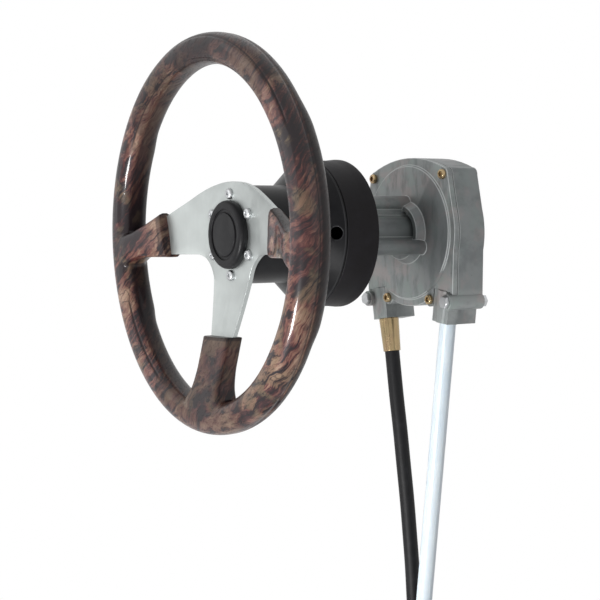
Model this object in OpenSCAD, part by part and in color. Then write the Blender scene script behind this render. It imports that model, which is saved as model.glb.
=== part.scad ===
// Rotary boat steering helm: three-spoke wheel, hub, dash bezel, planetary gearbox and push-pull cable.
// Millimetres, +Z up, +Y along the shaft from the wheel to the gearbox, +X to the driver's right.
// The origin is on the shaft axis in the plane of the bezel's dash face.

/* [Wheel] */
// Outer diameter of the wheel
wheel_d = 340; // [310:1:380]
// Thickness of the rim section across the rim
rim_w = 26.5; // [24:0.5:30]
// Thickness of the rim section along the shaft
rim_t = 29; // [24:0.5:34]
// How far the rim's middle stands forward of the plate's front face
wheel_dish = 21.5; // [14:0.5:30]
// Thickness of the spoke plate
plate_t = 4; // [3:0.5:6]
// Height of the plate's upper edge above the axis
plate_top = 45.5; // [43:0.5:50]
// Radius of the plate's arched upper edge
plate_arch_r = 140; // [120:5:160]
// Radius at which the flat hub of the plate turns into the dished spokes
dish_start = 48; // [46:1:60]
// Fall of the side spokes' upper edges, in degrees
spoke_fall = 22; // [20:0.5:23]
// Distance of the side spokes' lower edges below the axis
spoke_low = 17; // [14:1:22]
// Width of the lower spoke at its sleeve
low_spoke_w = 38; // [30:1:44]
// Taper of each edge of the lower spoke, in degrees
low_spoke_taper = 13; // [8:1:16]
// Radius of the concave corner between the spokes
spoke_corner_r = 28; // [20:1:32]
// Width of the core ring inside the rim
core_ring_w = 12; // [8:1:14]
// Radius of the inner end of the spoke sleeves
sleeve_r = 90; // [80:1:105]
// Distance by which the lower sleeve starts nearer the middle
low_sleeve_gain = 3; // [0:0.5:6]
// How far the sleeves stand forward of the plate
sleeve_front = 8.5; // [6:0.5:10]
// How far the sleeves stand behind the plate
sleeve_back = 6; // [4:0.5:9]
// How far the sleeves stand out past the edges of the plate
sleeve_lip = 2.5; // [1.5:0.5:4]
// Diameter of the wheel's screw circle
screw_circle_d = 70; // [69:0.5:74]
// Number of wheel screws
screw_count = 6; // [3:1:6]
// Diameter of the wheel screws
screw_d = 5; // [4:0.5:6]
// Diameter of the wheel screws' button heads
screw_head_d = 9.5; // [8:0.5:10]
// Height of the wheel screws' button heads
screw_head_h = 3; // [2:0.5:4]
// Length of the wheel screws under the head
screw_len = 20; // [12:1:22]
// Width of a screw head's top as a share of the head
head_top = 0.72; // [0.6:0.02:0.9]

/* [Centre cap] */
// Outer diameter of the centre cap
cap_d = 59; // [54:0.5:59]
// Height of the cap ring above the plate
cap_h = 7.4; // [6:0.2:10]
// Diameter of the sunk ring around the cap's disc
cap_recess_d = 43.5; // [42:0.5:46]
// Diameter of the round disc in the cap
cap_disc_d = 37.5; // [34:0.5:39]
// Diameter of the cap's spigot in the plate
cap_spigot_d = 47.6; // [46:0.2:50]
// Height of the floor under the cap's disc
cap_floor = 2; // [1.5:0.5:3]
// Thickness of the cap's floor and spigot end
cap_wall = 1.5; // [1:0.5:2]
// Width of the lip that carries the cap's disc
cap_lip = 4; // [3:0.5:6]
// Thickness of the cap's spigot
spigot_wall = 2; // [1.5:0.5:3]
// Depth of the step around the cap's disc
cap_step = 2.2; // [1.8:0.2:3]
// Width of the cap's raised crest
cap_crest = 3; // [2:0.5:4]
// Depth of the round on the cap's outer edge
cap_round = 4.4; // [3:0.2:5]
// Depth of the edge on the cap's disc
disc_edge = 1; // [0.6:0.2:1.4]

/* [Hub] */
// Diameter of the hub
hub_d = 85; // [84:0.5:96]
// Length of the hub's straight part
hub_len = 46; // [40:1:54]
// Length of the skirt's cone
skirt_h = 26; // [22:1:30]
// Depth of the skirt's straight edge
skirt_edge = 1; // [0.5:0.5:3]
// Wall of the hub
hub_wall = 4; // [3:0.5:6]
// Diameter of the access hole in the skirt
access_d = 10.8; // [8:0.2:13]
// Place of the access hole along the skirt's cone, as a share from its wide end
access_share = 0.25; // [0.25:0.05:0.5]
// Diameter of the boss on the shaft
boss_d = 40; // [34:1:44]
// Depth of the nut's recess in the hub
recess_depth = 20; // [18:1:22]
// Diameter of the nut's recess in the hub
recess_d = 49; // [48:0.5:52]
// Length of the hub's tapered bore
taper_len = 30; // [24:1:32]

/* [Shaft] */
// Diameter of the steering shaft
shaft_d = 19; // [17:0.5:20]
// Length of the shaft's taper for one millimetre of change in diameter
taper_rate = 12; // [10:1:16]
// Diameter of the thread on the shaft's end
thread_d = 12.6; // [10:0.2:14]
// Width across the flats of the shaft nut
nut_flats = 19; // [17:1:24]
// Height of the shaft nut
nut_h = 10; // [8:0.5:12]
// Length of thread that stands out of the shaft nut
thread_out = 3; // [1:0.5:4]
// Diameter of the nut's washer
washer_d = 26; // [22:1:34]
// Thickness of the nut's washer
washer_t = 2; // [1.5:0.5:3]
// Distance by which the shaft's taper ends below the washer
taper_short = 0.5; // [0.2:0.1:1]
// Width of the shaft key
key_w = 4; // [3:0.5:5]
// Height of the shaft key
key_h = 5; // [4:0.5:6]
// Length of the shaft key
key_len = 16; // [12:1:20]
// Wall of the shaft bushes
bush_wall = 2.5; // [2:0.5:3]
// Length of the shaft bushes
bush_len = 24; // [16:1:30]
// Depth of the shaft seal
seal_depth = 6; // [4:0.5:8]
// Wall of the shaft seal
seal_wall = 4.5; // [4:0.5:5]
// Thickness of the retaining clips
clip_t = 1.2; // [1:0.1:1.5]
// Height of the spring clips outside their shaft
clip_out = 2.5; // [2:0.5:3]
// Depth of the spring clips in their groove
clip_in = 0.9; // [0.6:0.1:1]

/* [Bezel] */
// How far the bezel's drum stands inside its outer edge
drum_step = 1; // [0.5:0.5:3]
// Length of the bezel's drum
neck_len = 20; // [18:1:26]
// Outer diameter of the bezel at the dash
bezel_d = 132; // [130:1:150]
// Length of the slight flare between the drum and the dash
flare_len = 12; // [10:1:14]
// Depth of the straight edge at the dash
bezel_edge = 3; // [1:0.5:4]
// Wall of the bezel
bezel_wall = 4; // [3:0.5:5]
// Width of the bezel's ring on the dash
dash_ring_w = 17; // [16:1:20]
// Thickness of the web that is screwed to the posts
web_t = 6; // [4:0.5:8]
// Height of the web's rear face above the dash
web_height = 20; // [16:1:20]
// Diameter of the circle of dash bolt holes
dash_bolt_circle_d = 112; // [110:1:114]
// Diameter of the dash bolt holes
dash_bolt_d = 4.2; // [3:0.1:5]
// Depth of the dash bolt holes
dash_bolt_depth = 12; // [8:1:14]
// Diameter of the bezel screws
bezel_screw_d = 6; // [5:0.5:7]
// Length of the bezel screws under the head
bezel_screw_len = 24; // [18:1:40]
// Width of a bezel screw's head as a multiple of its shank
bezel_head = 1.7; // [1.5:0.1:1.8]
// Height of a bezel screw's head as a multiple of its shank
bezel_head_h = 0.7; // [0.5:0.1:0.8]

/* [Gearbox case] */
// Distance from the dash face to the front of the cover
dash_to_cover = 80.5; // [70:0.5:100]
// Diameter of the gearbox case
case_d = 137; // [124:1:150]
// Wall of the case around the drum
case_wall = 6.5; // [6:0.5:8]
// Thickness of the cover
cover_t = 5.5; // [5:0.5:8]
// Width of the flange around the raised pad on the cover
pad_margin = 6; // [5:0.5:12]
// Height of the raised pad on the cover
pad_h = 2; // [1.5:0.5:4]
// Thickness of the cover gasket
gasket_t = 0.5; // [0.5:0.1:1]
// Thickness of the rear housing's end wall
end_wall = 5; // [4.5:0.5:6]
// Distance of the upper cover screws outside the case's diameter
top_screw_out = 5.4; // [4:0.2:6]
// Angle of the upper cover screws above the horizontal
top_screw_angle = 44.7; // [40:0.1:50]
// Distance of the lower cover screws outside the case's diameter
low_screw_out = 0.8; // [0:0.2:2]
// Angle of the lower cover screws below the horizontal
low_screw_angle = 62.5; // [62:0.5:70]
// Diameter of the cover screws
cover_screw_d = 5; // [4:0.5:5]
// Diameter of the cover screws' heads
cover_head_d = 9; // [8:0.5:10]
// Height of the cover screws' heads
cover_head_h = 3.5; // [2.5:0.5:4]
// Length of the cover screws under the head
cover_screw_len = 24; // [14:1:26]
// Diameter of the bosses around the upper cover screws
screw_boss_d = 13; // [12:1:16]
// How far the case's arched top stands above its diameter
top_rise = 0.5; // [0.5:0.5:2]
// Diameter of the bosses around the lower cover screws
low_boss_d = 13; // [11:0.5:14]
// How far the case's straight lower sides stand inside its diameter
side_inset = 2; // [1:0.5:4]
// Level below the axis at which the straight lower sides start
side_start = 15; // [10:1:25]

/* [Posts] */
// Diameter of the tube around the shaft
shaft_tube_d = 33; // [32:0.5:34]
// Length of the shaft tube in front of the posts
tube_nose = 20; // [16:1:22]
// Diameter of the circle of mounting posts
post_circle_d = 54; // [52:1:58]
// Diameter of the mounting posts
post_d = 14; // [12:0.5:16]
// Width of the webs between the posts and the shaft tube
post_web_w = 9; // [6:1:11]
// Diameter of the collar at the foot of the posts
collar_d = 58; // [52:1:64]
// Height of the collar at the foot of the posts
collar_h = 8; // [5:1:12]
// Width of the groove between the collar and the shaft tube
groove_w = 4; // [2:0.5:6]
// Depth of the groove between the collar and the shaft tube
groove_depth = 5; // [2:0.5:7]

/* [Cable ports] */
// Wall between the housing's front and the cable's channel
channel_wall = 0.7; // [0.5:0.1:1.5]
// Clearance of the core in its channel
channel_gap = 0.5; // [0.4:0.1:1]
// Lean of the cable ports towards each other, in degrees
port_lean = 8.5; // [7:0.5:9]
// Diameter of the port barrels
port_d = 23; // [20:0.5:24]
// How far the sides of the block behind each port barrel stand inside the barrel
slab_inset = 0.6; // [0.4:0.1:2]
// Distance along the port from the case's edge to the top of the barrel
port_drop = 7; // [5:0.5:8]
// Length of the port barrels
port_len = 29.5; // [26:0.5:36]
// Distance of the clamp bolts from the middle of the port
clamp_side = 12; // [11.5:0.5:13]
// Distance along the port from the top of the barrel to the clamp bolts
clamp_drop = 8.5; // [7.5:0.5:12]
// Diameter of the clamp bolt barrels
clamp_barrel_d = 14.5; // [13:0.5:16]
// How far the clamp barrels stand forward of the cover
clamp_rise = 4; // [2:0.5:6]
// Diameter of the clamp bolts
clamp_bolt_d = 6; // [5:0.5:6]
// Width across the flats of the clamp bolts and their nuts
clamp_flats = 10; // [9:0.5:12]
// Height of the clamp bolts' heads
clamp_head_h = 4; // [3:0.5:5]
// Height of the clamp bolts' nuts
clamp_nut_h = 5; // [4:0.5:6]

/* [Gears] */
// Module of the gear teeth
gear_module = 1.3; // [1.25:0.01:1.3]
// Teeth of the sun gear on the shaft
sun_teeth = 12; // [12:12:12]
// Teeth of each planet gear
planet_teeth = 24; // [24:12:24]
// Play between the gear teeth
backlash = 0.5; // [0.4:0.05:0.6]
// Thickness of the planet gears
planet_w = 10; // [8:0.5:14]
// Diameter of the planet pins
pin_d = 8; // [6:0.5:10]
// Width of the ring gear's rim outside its teeth
ring_rim = 5; // [3:0.5:6]
// Thickness of the cable drum
drum_t = 10; // [9:0.1:10.4]
// Height of the drum's lips above the core
drum_lip = 1; // [0.5:0.1:1.5]
// Clearance of the drum in the housing
drum_clear = 1.2; // [0.8:0.1:1.5]
// Depth of the pins in the drum
pin_seat = 8; // [6:0.5:8]
// Width of the washer between the drum and the cover
thrust_w = 8; // [5:0.5:10]
// Thickness of the washer between the drum and the cover
thrust_t = 0.6; // [0.4:0.1:0.8]
// Diameter of the cable core on the drum
core_d = 5.6; // [5:0.1:6.4]

/* [Cable and tube] */
// Diameter of the steering cable
cable_d = 14; // [12:0.5:14]
// Diameter of the ferrule at the port
ferrule_d = 19; // [18:0.5:20]
// Diameter of the ferrule at the cable
ferrule_neck_d = 16.5; // [16:0.5:18]
// Length of the ferrule below the port
ferrule_len = 32; // [26:1:40]
// Outer diameter of the spent-travel tube
tube_d = 15; // [14:0.5:15]
// Bore of the spent-travel tube
tube_bore_d = 10.4; // [9:0.2:11]
// Length of the spent-travel tube
tube_len = 310; // [280:5:320]
// Wall and end of the cap on the spent tube
tube_cap_t = 1.2; // [1:0.1:2]
// Length of the cap on the spent tube
tube_cap_len = 10; // [8:1:14]
// Depth of the spent-travel tube and of the ferrule in their ports
port_seat = 22; // [18:1:24]
// Length of the core's free end inside the spent-travel tube
core_tail = 114; // [80:1:150]
// Diameter of the coil at the middle of its turns
coil_mid_d = 160; // [150:1:166]
// Number of loops in the coil
coil_loops = 4; // [4:2:6]
// Spacing of the coil's loops
coil_step = 15; // [14.8:0.1:16]
// Width of the ties around the coil
tie_w = 6; // [4:0.5:8]
// Thickness of the ties around the coil
tie_t = 1.2; // [0.8:0.1:2]
// Length of the cable's tail below the coil
tail_len = 50; // [40:1:70]
// Diameter of the anchor fitting's sleeve on the cable
anchor_sleeve_d = 19; // [17:0.5:22]
// Length of the anchor fitting's sleeve
anchor_sleeve_len = 22; // [16:1:30]
// Diameter of the anchor fitting's threaded end
anchor_thread_d = 22.2; // [20:0.2:24]
// Length of the anchor fitting's threaded end
anchor_thread_len = 34; // [30:1:44]
// Width across the flats of the anchor nut
anchor_flats = 30; // [28:1:34]
// Height of the anchor nut
anchor_nut_h = 10; // [8:1:14]
// Diameter of the cap on the anchor fitting
anchor_cap_d = 16; // [12:0.5:18]
// Height of the cap on the anchor fitting
anchor_cap_h = 8; // [5:0.5:12]

/* [Fits] */
// Radial clearance of running shafts and pins
run_gap = 0.05; // [0.03:0.01:0.08]
// Clearance of pieces that are fixed together
seat_gap = 0.05; // [0.03:0.01:0.1]
// Clearance between the rotating hub and the bezel
hub_gap = 1; // [0.6:0.1:2]
// Clearance around the cable core and between the case and its drum
core_gap = 0.3; // [0.3:0.05:0.5]
// Gap along the shaft between the drum, the gears and their clips
gear_play = 1.5; // [1.4:0.1:2]
// Gap along the shaft between turning faces and the case
end_play = 1; // [0.8:0.1:1.5]

/* [Hidden] */
$fn = 96;
eps = 0.01;
arc_steps = 12;
flank = 20;
cut = 1;
half_play = end_play / 2;

// The hub's skirt is as wide as the bezel's drum behind it
neck_d = bezel_d - 2 * drum_step;
skirt_d = neck_d;

// Levels along the shaft, measured forward from the dash face
bezel_h = flare_len + neck_len;
skirt_z = bezel_h + hub_gap;
hub_low_z = skirt_z + skirt_edge + skirt_h;
hub_front_z = hub_low_z + hub_len;
plate_face_z = hub_front_z + plate_t;
recess_z = hub_front_z - recess_depth;
boss_low_z = recess_z - taper_len;
rim_z = plate_face_z + wheel_dish;
nose_z = web_height + tube_nose;
cover_z = -dash_to_cover;
seam_z = cover_z - cover_t;
housing_z = seam_z - gasket_t;
channel_r = core_d / 2 + channel_gap;
cable_z = housing_z - channel_r - channel_wall;
drum_front_z = cable_z + drum_t / 2;
drum_back_z = cable_z - drum_t / 2;
planet_front_z = drum_back_z - gear_play;
planet_back_z = planet_front_z - planet_w;
pin_clip_z = planet_back_z - gear_play;
pin_back_z = pin_clip_z - end_play;
wall_z = pin_back_z - end_play;
housing_back_z = wall_z - end_wall;
step_z = drum_back_z - end_play;
cavity_z = drum_front_z + thrust_t + core_gap;
housing_depth = housing_z - housing_back_z;
clamp_front_z = cover_z + clamp_rise;

// Wheel radii
rim_r = (wheel_d - rim_w) / 2;
dish_end = rim_r - rim_w / 2;
plate_mid_z = plate_face_z - plate_t / 2;
low_spoke_r = sleeve_r - low_sleeve_gain;
screw_circle_r = screw_circle_d / 2;

// Shaft and case radii
shaft_r = shaft_d / 2;
taper_top_r = shaft_r - taper_len / taper_rate / 2;
bush_r = shaft_r + run_gap + bush_wall;
seal_r = shaft_r + run_gap + seal_wall;
case_r = case_d / 2;
pad_r = case_r - pad_margin;
top_screw_x = (case_r + top_screw_out) * cos(top_screw_angle);
top_screw_z = (case_r + top_screw_out) * sin(top_screw_angle);
low_screw_x = (case_r + low_screw_out) * cos(low_screw_angle);
low_screw_z = (case_r + low_screw_out) * sin(low_screw_angle);
core_r = core_d / 2;
cavity_r = case_r - case_wall;
drum_r = cavity_r - drum_clear;
pitch_r = drum_r - drum_lip - core_r;
port_start = sqrt(case_r * case_r - pitch_r * pitch_r) + port_drop;
port_end = port_start + port_len;
clamp_x = (pitch_r + clamp_side) * cos(port_lean) - (port_start + clamp_drop) * sin(port_lean);
clamp_z = (pitch_r + clamp_side) * sin(port_lean) + (port_start + clamp_drop) * cos(port_lean);
groove_r = core_r + core_gap;

// Gear sizes: the ring gear's teeth follow from the sun's and the planets'
ring_teeth = sun_teeth + 2 * planet_teeth;
orbit_r = gear_module * (sun_teeth + planet_teeth) / 2;
tooth_up = 0.8 * gear_module;
tooth_down = 1.2 * gear_module;
ring_r = gear_module * ring_teeth / 2 + tooth_down + ring_rim;
planet_turn = 180 / planet_teeth;
planet_angles = [0, 120, 240];
tail_r = gear_module * sun_teeth / 2 - tooth_down - core_gap;
tail_bush_r = tail_r + run_gap + bush_wall;
tail_bush_z = planet_back_z - gear_play - half_play;
tail_seat = end_wall - end_play;
post_angles = [90, 210, 330];

// Cable route, in the model's own axes, from the ferrule's mouth to the top of the coil
mouth = port_end + ferrule_len;
mouth_x = -(pitch_r * cos(port_lean) - mouth * sin(port_lean));
mouth_z = -(pitch_r * sin(port_lean) + mouth * cos(port_lean));
mouth_y = -cable_z;
cable_points = [
    [-38, 90.5, -132],
    [-34, 90.5, -159],
    [-29.5, 91, -190],
    [-25.5, 91.5, -222],
    [-22, 92.5, -255],
    [-19.5, 93.5, -288],
    [-17.5, 94.5, -320],
    [-16, 95, -352],
    [-15, 96, -384],
    [-15, 96, -416]
];
coil_x = -7.5;
coil_y = 1;
coil_z = -457;
coil_out_r = coil_mid_d / 2 + coil_step * coil_loops / 4;
coil_rings = 24;
coil_sides = 6;
cable_sides = 10;
tie_turns = [0.375, 0.625];

// Stands the helm's own frame, with z along the shaft towards the driver and y up, in the model's axes
module along_shaft() {
    rotate([90, 0, 0])
        children();
}

// Round bar or, with a bore, ring between two levels
module ring(outer_r, bore_r, low, high) {
    translate([0, 0, low])
        difference() {
            cylinder(r = outer_r, h = high - low);
            if (bore_r > 0)
                translate([0, 0, -eps])
                    cylinder(r = bore_r, h = high - low + 2 * eps);
        }
}

// Hexagon bar between two levels
module hexagon(flats, low, high) {
    translate([0, 0, low])
        cylinder(d = flats / cos(30), h = high - low, $fn = 6);
}

// Copies on a circle at the given angles
module at_angles(circle_r, angles) {
    for (angle = angles)
        rotate([0, 0, angle])
            translate([circle_r, 0, 0])
                children();
}

// Copies on the left and on the right
module both_sides() {
    children();
    mirror([1, 0, 0])
        children();
}

// Screw with a round head: the head stands forward of the seat and the shank runs behind it
module screw(shank_d, shank_len, head_d, head_h, seat) {
    translate([0, 0, seat - shank_len])
        cylinder(d = shank_d, h = shank_len);
    translate([0, 0, seat])
        cylinder(d1 = head_d, d2 = head_d * head_top, h = head_h);
}

function screw_angles() = [for (i = [0 : screw_count - 1]) 90 + 360 * i / screw_count];

// Wheel

// Height of the plate's middle surface at a radius: flat hub, dished spokes, flat core ring
function dish_z(r) =
    r <= dish_start ? plate_mid_z
    : r >= dish_end ? rim_z
    : plate_mid_z + (rim_z - plate_mid_z) * (r - dish_start) / (dish_end - dish_start);

// Dished band between two offsets from the plate's middle surface
module dished_band(from_r, to_r, low, high) {
    stations = [for (r = [from_r, dish_start, dish_end, to_r]) if (r >= from_r && r <= to_r) r];
    upper = [for (r = stations) [r, dish_z(r) + high]];
    count = len(stations);
    lower = [for (i = [count - 1 : -1 : 0]) [stations[i], dish_z(stations[i]) + low]];
    rotate_extrude()
        polygon(concat(upper, lower));
}

// Points on an arc, with the angles in degrees
function arc(centre, radius, from, to) =
    [for (i = [0 : arc_steps]) centre + radius * [cos(from + (to - from) * i / arc_steps),
        sin(from + (to - from) * i / arc_steps)]];

// Half width of the lower spoke at a height
function low_spoke_half(z) = low_spoke_w / 2 + (z + low_spoke_r) * tan(low_spoke_taper);

// Right half of the spokes' outline, grown by a margin: upper arch, side spoke, concave corner, lower spoke
function half_outline(grow) =
    let (arch_r = plate_arch_r + grow)
    let (arch_centre = [0, plate_top - plate_arch_r])
    let (edge = arch_centre + arch_r * [sin(spoke_fall), cos(spoke_fall)])
    let (end_z = edge[1] - (rim_r - edge[0]) * tan(spoke_fall))
    let (corner_z = -spoke_low - spoke_corner_r)
    let (corner_x = low_spoke_half(corner_z) + spoke_corner_r / cos(low_spoke_taper))
    let (end_half = low_spoke_w / 2 + grow / cos(low_spoke_taper))
    concat(
        arc(arch_centre, arch_r, 90, 90 - spoke_fall),
        [[rim_r, end_z], [rim_r, -spoke_low - grow]],
        arc([corner_x, corner_z], spoke_corner_r - grow, 90, 180 - low_spoke_taper),
        [[end_half, -low_spoke_r], [end_half, -rim_r]]
    );

// Whole outline of the spokes, mirrored from its right half
module spokes_outline(grow) {
    right = half_outline(grow);
    last = len(right) - 1;
    left = [for (i = [last : -1 : 1]) [-right[i][0], right[i][1]]];
    polygon(concat(right, left));
}

// Outline of the three sleeves, which cover the spokes from the sleeve start to the rim
module sleeve_outline() {
    both_sides()
        intersection() {
            spokes_outline(sleeve_lip);
            rotate(-0.4 * spoke_fall)
                translate([sleeve_r, -rim_r])
                    square([rim_r, 2 * rim_r]);
        }
    translate([-low_spoke_w / 2 - sleeve_lip, -rim_r])
        square([low_spoke_w + 2 * sleeve_lip, rim_r - low_spoke_r]);
}

// Plate shape with a margin around it, the plate itself or the pocket that holds it: spokes and core ring
module plate_solid(margin) {
    half_t = plate_t / 2 + margin;
    half_w = core_ring_w / 2 + margin;
    intersection() {
        translate([0, 0, plate_face_z - 2 * plate_t])
            linear_extrude(wheel_dish + rim_t)
                spokes_outline(margin);
        dished_band(0, rim_r + core_ring_w / 4, -half_t, half_t);
    }
    ring(rim_r + half_w, rim_r - half_w, rim_z - half_t, rim_z + half_t);
}

// Half of the rim's oval section on one side of its middle plane
module rim_half_section(side) {
    polygon([for (i = [0 : 2 * arc_steps])
        [rim_r + rim_w / 2 * cos(90 * i / arc_steps), rim_z + side * rim_t / 2 * sin(90 * i / arc_steps)]]);
}

// One half of the wooden rim with its three sleeves: side 1 is the front half, side -1 the rear half
module rim_half(side) {
    low = side > 0 ? seat_gap : -plate_t / 2 - sleeve_back;
    high = side > 0 ? plate_t / 2 + sleeve_front : -seat_gap;
    difference() {
        union() {
            rotate_extrude()
                rim_half_section(side);
            intersection() {
                translate([0, 0, plate_face_z - 3 * plate_t])
                    linear_extrude(wheel_dish + 2 * rim_t)
                        sleeve_outline();
                dished_band(sleeve_r * 0.8, rim_r, low, high);
            }
        }
        plate_solid(seat_gap);
    }
}

module rim_front() {
    color("saddlebrown")
        along_shaft()
            rim_half(1);
}

module rim_rear() {
    color("sienna")
        along_shaft()
            rim_half(-1);
}

module spoke_plate() {
    color("gainsboro")
        along_shaft()
            difference() {
                plate_solid(0);
                translate([0, 0, plate_face_z - 2 * plate_t])
                    cylinder(d = cap_spigot_d + 2 * seat_gap, h = 3 * plate_t);
                at_angles(screw_circle_r, screw_angles())
                    translate([0, 0, plate_face_z - 2 * plate_t])
                        cylinder(d = screw_d + 2 * seat_gap, h = 3 * plate_t);
            }
}

module wheel_screws() {
    color("silver")
        along_shaft()
            at_angles(screw_circle_r, screw_angles())
                screw(screw_d, screw_len, screw_head_d, screw_head_h, plate_face_z);
}

// Centre cap: a stepped ring with a spigot, and a bare round disc in it
module cap_ring() {
    outer_r = cap_d / 2;
    disc_r = cap_disc_d / 2 + seat_gap;
    recess_r = cap_recess_d / 2;
    spigot_r = cap_spigot_d / 2;
    floor_z = plate_face_z + cap_floor;
    color("#202022")
        along_shaft()
            rotate_extrude()
                polygon([
                    [disc_r - cap_lip, floor_z - cap_wall],
                    [disc_r - cap_lip, floor_z],
                    [disc_r, floor_z],
                    [disc_r, plate_face_z + cap_h - cap_step],
                    [recess_r, plate_face_z + cap_h - cap_step],
                    [recess_r, plate_face_z + cap_h - cap_step / 5],
                    [recess_r + cap_crest, plate_face_z + cap_h],
                    [outer_r - cap_round / 3, plate_face_z + cap_h - 0.4 * cap_round],
                    [outer_r, plate_face_z + cap_h - cap_round],
                    [outer_r, plate_face_z],
                    [spigot_r, plate_face_z],
                    [spigot_r, hub_front_z - cap_wall],
                    [spigot_r - spigot_wall, hub_front_z - cap_wall],
                    [spigot_r - spigot_wall, floor_z - cap_wall]
                ]);
}

module cap_disc() {
    disc_r = cap_disc_d / 2;
    floor_z = plate_face_z + cap_floor;
    color("#2a2a2d")
        along_shaft()
            rotate_extrude()
                polygon([
                    [0, floor_z],
                    [disc_r, floor_z],
                    [disc_r, plate_face_z + cap_h - disc_edge],
                    [disc_r - disc_edge, plate_face_z + cap_h - disc_edge / 5],
                    [0, plate_face_z + cap_h]
                ]);
}

// Hub and shaft

module wheel_hub() {
    hub_r = hub_d / 2;
    skirt_r = skirt_d / 2;
    boss_r = boss_d / 2;
    recess_r = recess_d / 2;
    ceiling_z = recess_z - 1.5 * hub_wall;
    skirt_top_z = skirt_z + skirt_edge;
    access_r = skirt_r + (hub_r - skirt_r) * access_share;
    access_z = skirt_top_z + skirt_h * access_share;
    cone_angle = atan2(skirt_r - hub_r, skirt_h);
    color("#28282a")
        along_shaft()
            difference() {
                rotate_extrude()
                    polygon([
                        [0, recess_z],
                        [recess_r, recess_z],
                        [recess_r, hub_front_z],
                        [hub_r, hub_front_z],
                        [hub_r, hub_low_z],
                        [skirt_r, skirt_top_z],
                        [skirt_r, skirt_z],
                        [skirt_r - hub_wall, skirt_z],
                        [hub_r - hub_wall, hub_low_z - hub_wall / 2],
                        [hub_r - hub_wall, ceiling_z],
                        [boss_r, ceiling_z],
                        [boss_r, boss_low_z],
                        [0, boss_low_z]
                    ]);
                shaft_taper(seat_gap, recess_z + cut);
                key_slot(seat_gap);
                translate([access_r, 0, access_z])
                    rotate([0, 90 - cone_angle, 0])
                        cylinder(d = access_d, h = 4 * hub_wall, center = true);
                at_angles(screw_circle_r, screw_angles())
                    translate([0, 0, plate_face_z - screw_len - cut])
                        cylinder(d = screw_d + 2 * seat_gap, h = screw_len);
            }
}

// Taper of the shaft in the hub, or with a margin the bore that takes it
module shaft_taper(margin, top_z) {
    translate([0, 0, boss_low_z - eps])
        cylinder(r1 = shaft_r + margin, r2 = taper_top_r + margin, h = top_z - boss_low_z + eps);
}

// Block of the shaft key, or with a margin its slot in the shaft and the hub
module key_slot(margin) {
    mid_r = (shaft_r + taper_top_r) / 2;
    low = boss_low_z + (taper_len - key_len) / 2;
    translate([-key_w / 2 - margin, mid_r - key_h / 2 - margin, low - margin])
        cube([key_w + 2 * margin, key_h + 2 * margin, key_len + 2 * margin]);
}

module shaft_key() {
    color("dimgray")
        along_shaft()
            key_slot(0);
}

module nut_washer() {
    color("silver")
        along_shaft()
            ring(washer_d / 2, thread_d / 2 + seat_gap, recess_z, recess_z + washer_t);
}

module shaft_nut() {
    low = recess_z + washer_t;
    color("silver")
        along_shaft()
            difference() {
                hexagon(nut_flats, low, low + nut_h);
                translate([0, 0, low - eps])
                    cylinder(d = thread_d + 2 * seat_gap, h = nut_h + 2 * eps);
            }
}

// Trapezoid gear outline: teeth point out if the tip radius is the larger one, and in if it is the smaller
function gear_outline(teeth, root_r, tip_r) =
    let (half = (PI * gear_module / 2 - backlash) / 2)
    let (pitch = gear_module * teeth / 2)
    let (tip_half = (half - abs(tip_r - pitch) * tan(flank)) / tip_r * 180 / PI)
    let (root_half = (half + abs(root_r - pitch) * tan(flank)) / root_r * 180 / PI)
    [for (i = [0 : teeth - 1])
        for (corner = [[root_r, -root_half], [tip_r, -tip_half], [tip_r, tip_half], [root_r, root_half]])
            corner[0] * [cos(360 * i / teeth + corner[1]), sin(360 * i / teeth + corner[1])]];

// External gear between two levels
module gear(teeth, low, high) {
    pitch = gear_module * teeth / 2;
    translate([0, 0, low])
        linear_extrude(high - low)
            polygon(gear_outline(teeth, pitch - tooth_down, pitch + tooth_up));
}

// Retaining clip on a shaft, in the groove that clip_groove cuts
module clip(shaft_radius, low) {
    ring(shaft_radius + clip_out, shaft_radius - clip_in, low, low + clip_t);
}

// Groove for a retaining clip
module clip_groove(shaft_radius, low) {
    ring(shaft_radius + cut, shaft_radius - clip_in - seat_gap, low - seat_gap, low + clip_t + seat_gap);
}

module steering_shaft() {
    thread_end = recess_z + washer_t + nut_h + thread_out;
    color("#b8b8bc")
        along_shaft()
            difference() {
                union() {
                    ring(shaft_r, 0, planet_front_z + half_play, boss_low_z);
                    shaft_taper(0, recess_z - taper_short);
                    ring(thread_d / 2, 0, recess_z - 2 * taper_short, thread_end);
                    gear(sun_teeth, planet_back_z - half_play, planet_front_z + half_play + eps);
                    ring(tail_r, 0, wall_z - tail_seat + half_play, planet_back_z);
                }
                key_slot(seat_gap);
                clip_groove(shaft_r, nose_z + core_gap);
            }
}

module shaft_clip() {
    color("dimgray")
        along_shaft()
            clip(shaft_r, nose_z + core_gap);
}

// Bezel

module bezel() {
    neck_r = neck_d / 2;
    inner_r = neck_r - bezel_wall;
    ring_inner_r = bezel_d / 2 - dash_ring_w;
    color("#2c2c2f")
        along_shaft()
            difference() {
                rotate_extrude()
                    polygon([
                        [ring_inner_r, 0],
                        [bezel_d / 2, 0],
                        [bezel_d / 2, bezel_edge],
                        [neck_r, flare_len],
                        [neck_r, bezel_h],
                        [inner_r, bezel_h],
                        [inner_r, web_height + web_t],
                        [shaft_tube_d / 2 + channel_gap, web_height + web_t],
                        [shaft_tube_d / 2 + channel_gap, web_height],
                        [ring_inner_r, web_height]
                    ]);
                at_angles(post_circle_d / 2, post_angles)
                    translate([0, 0, web_height - cut])
                        cylinder(d = bezel_screw_d + 2 * seat_gap, h = web_t + 2 * cut);
                at_angles(dash_bolt_circle_d / 2, post_angles)
                    translate([0, 0, -1])
                        cylinder(d = dash_bolt_d, h = dash_bolt_depth + cut);
            }
}

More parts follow.
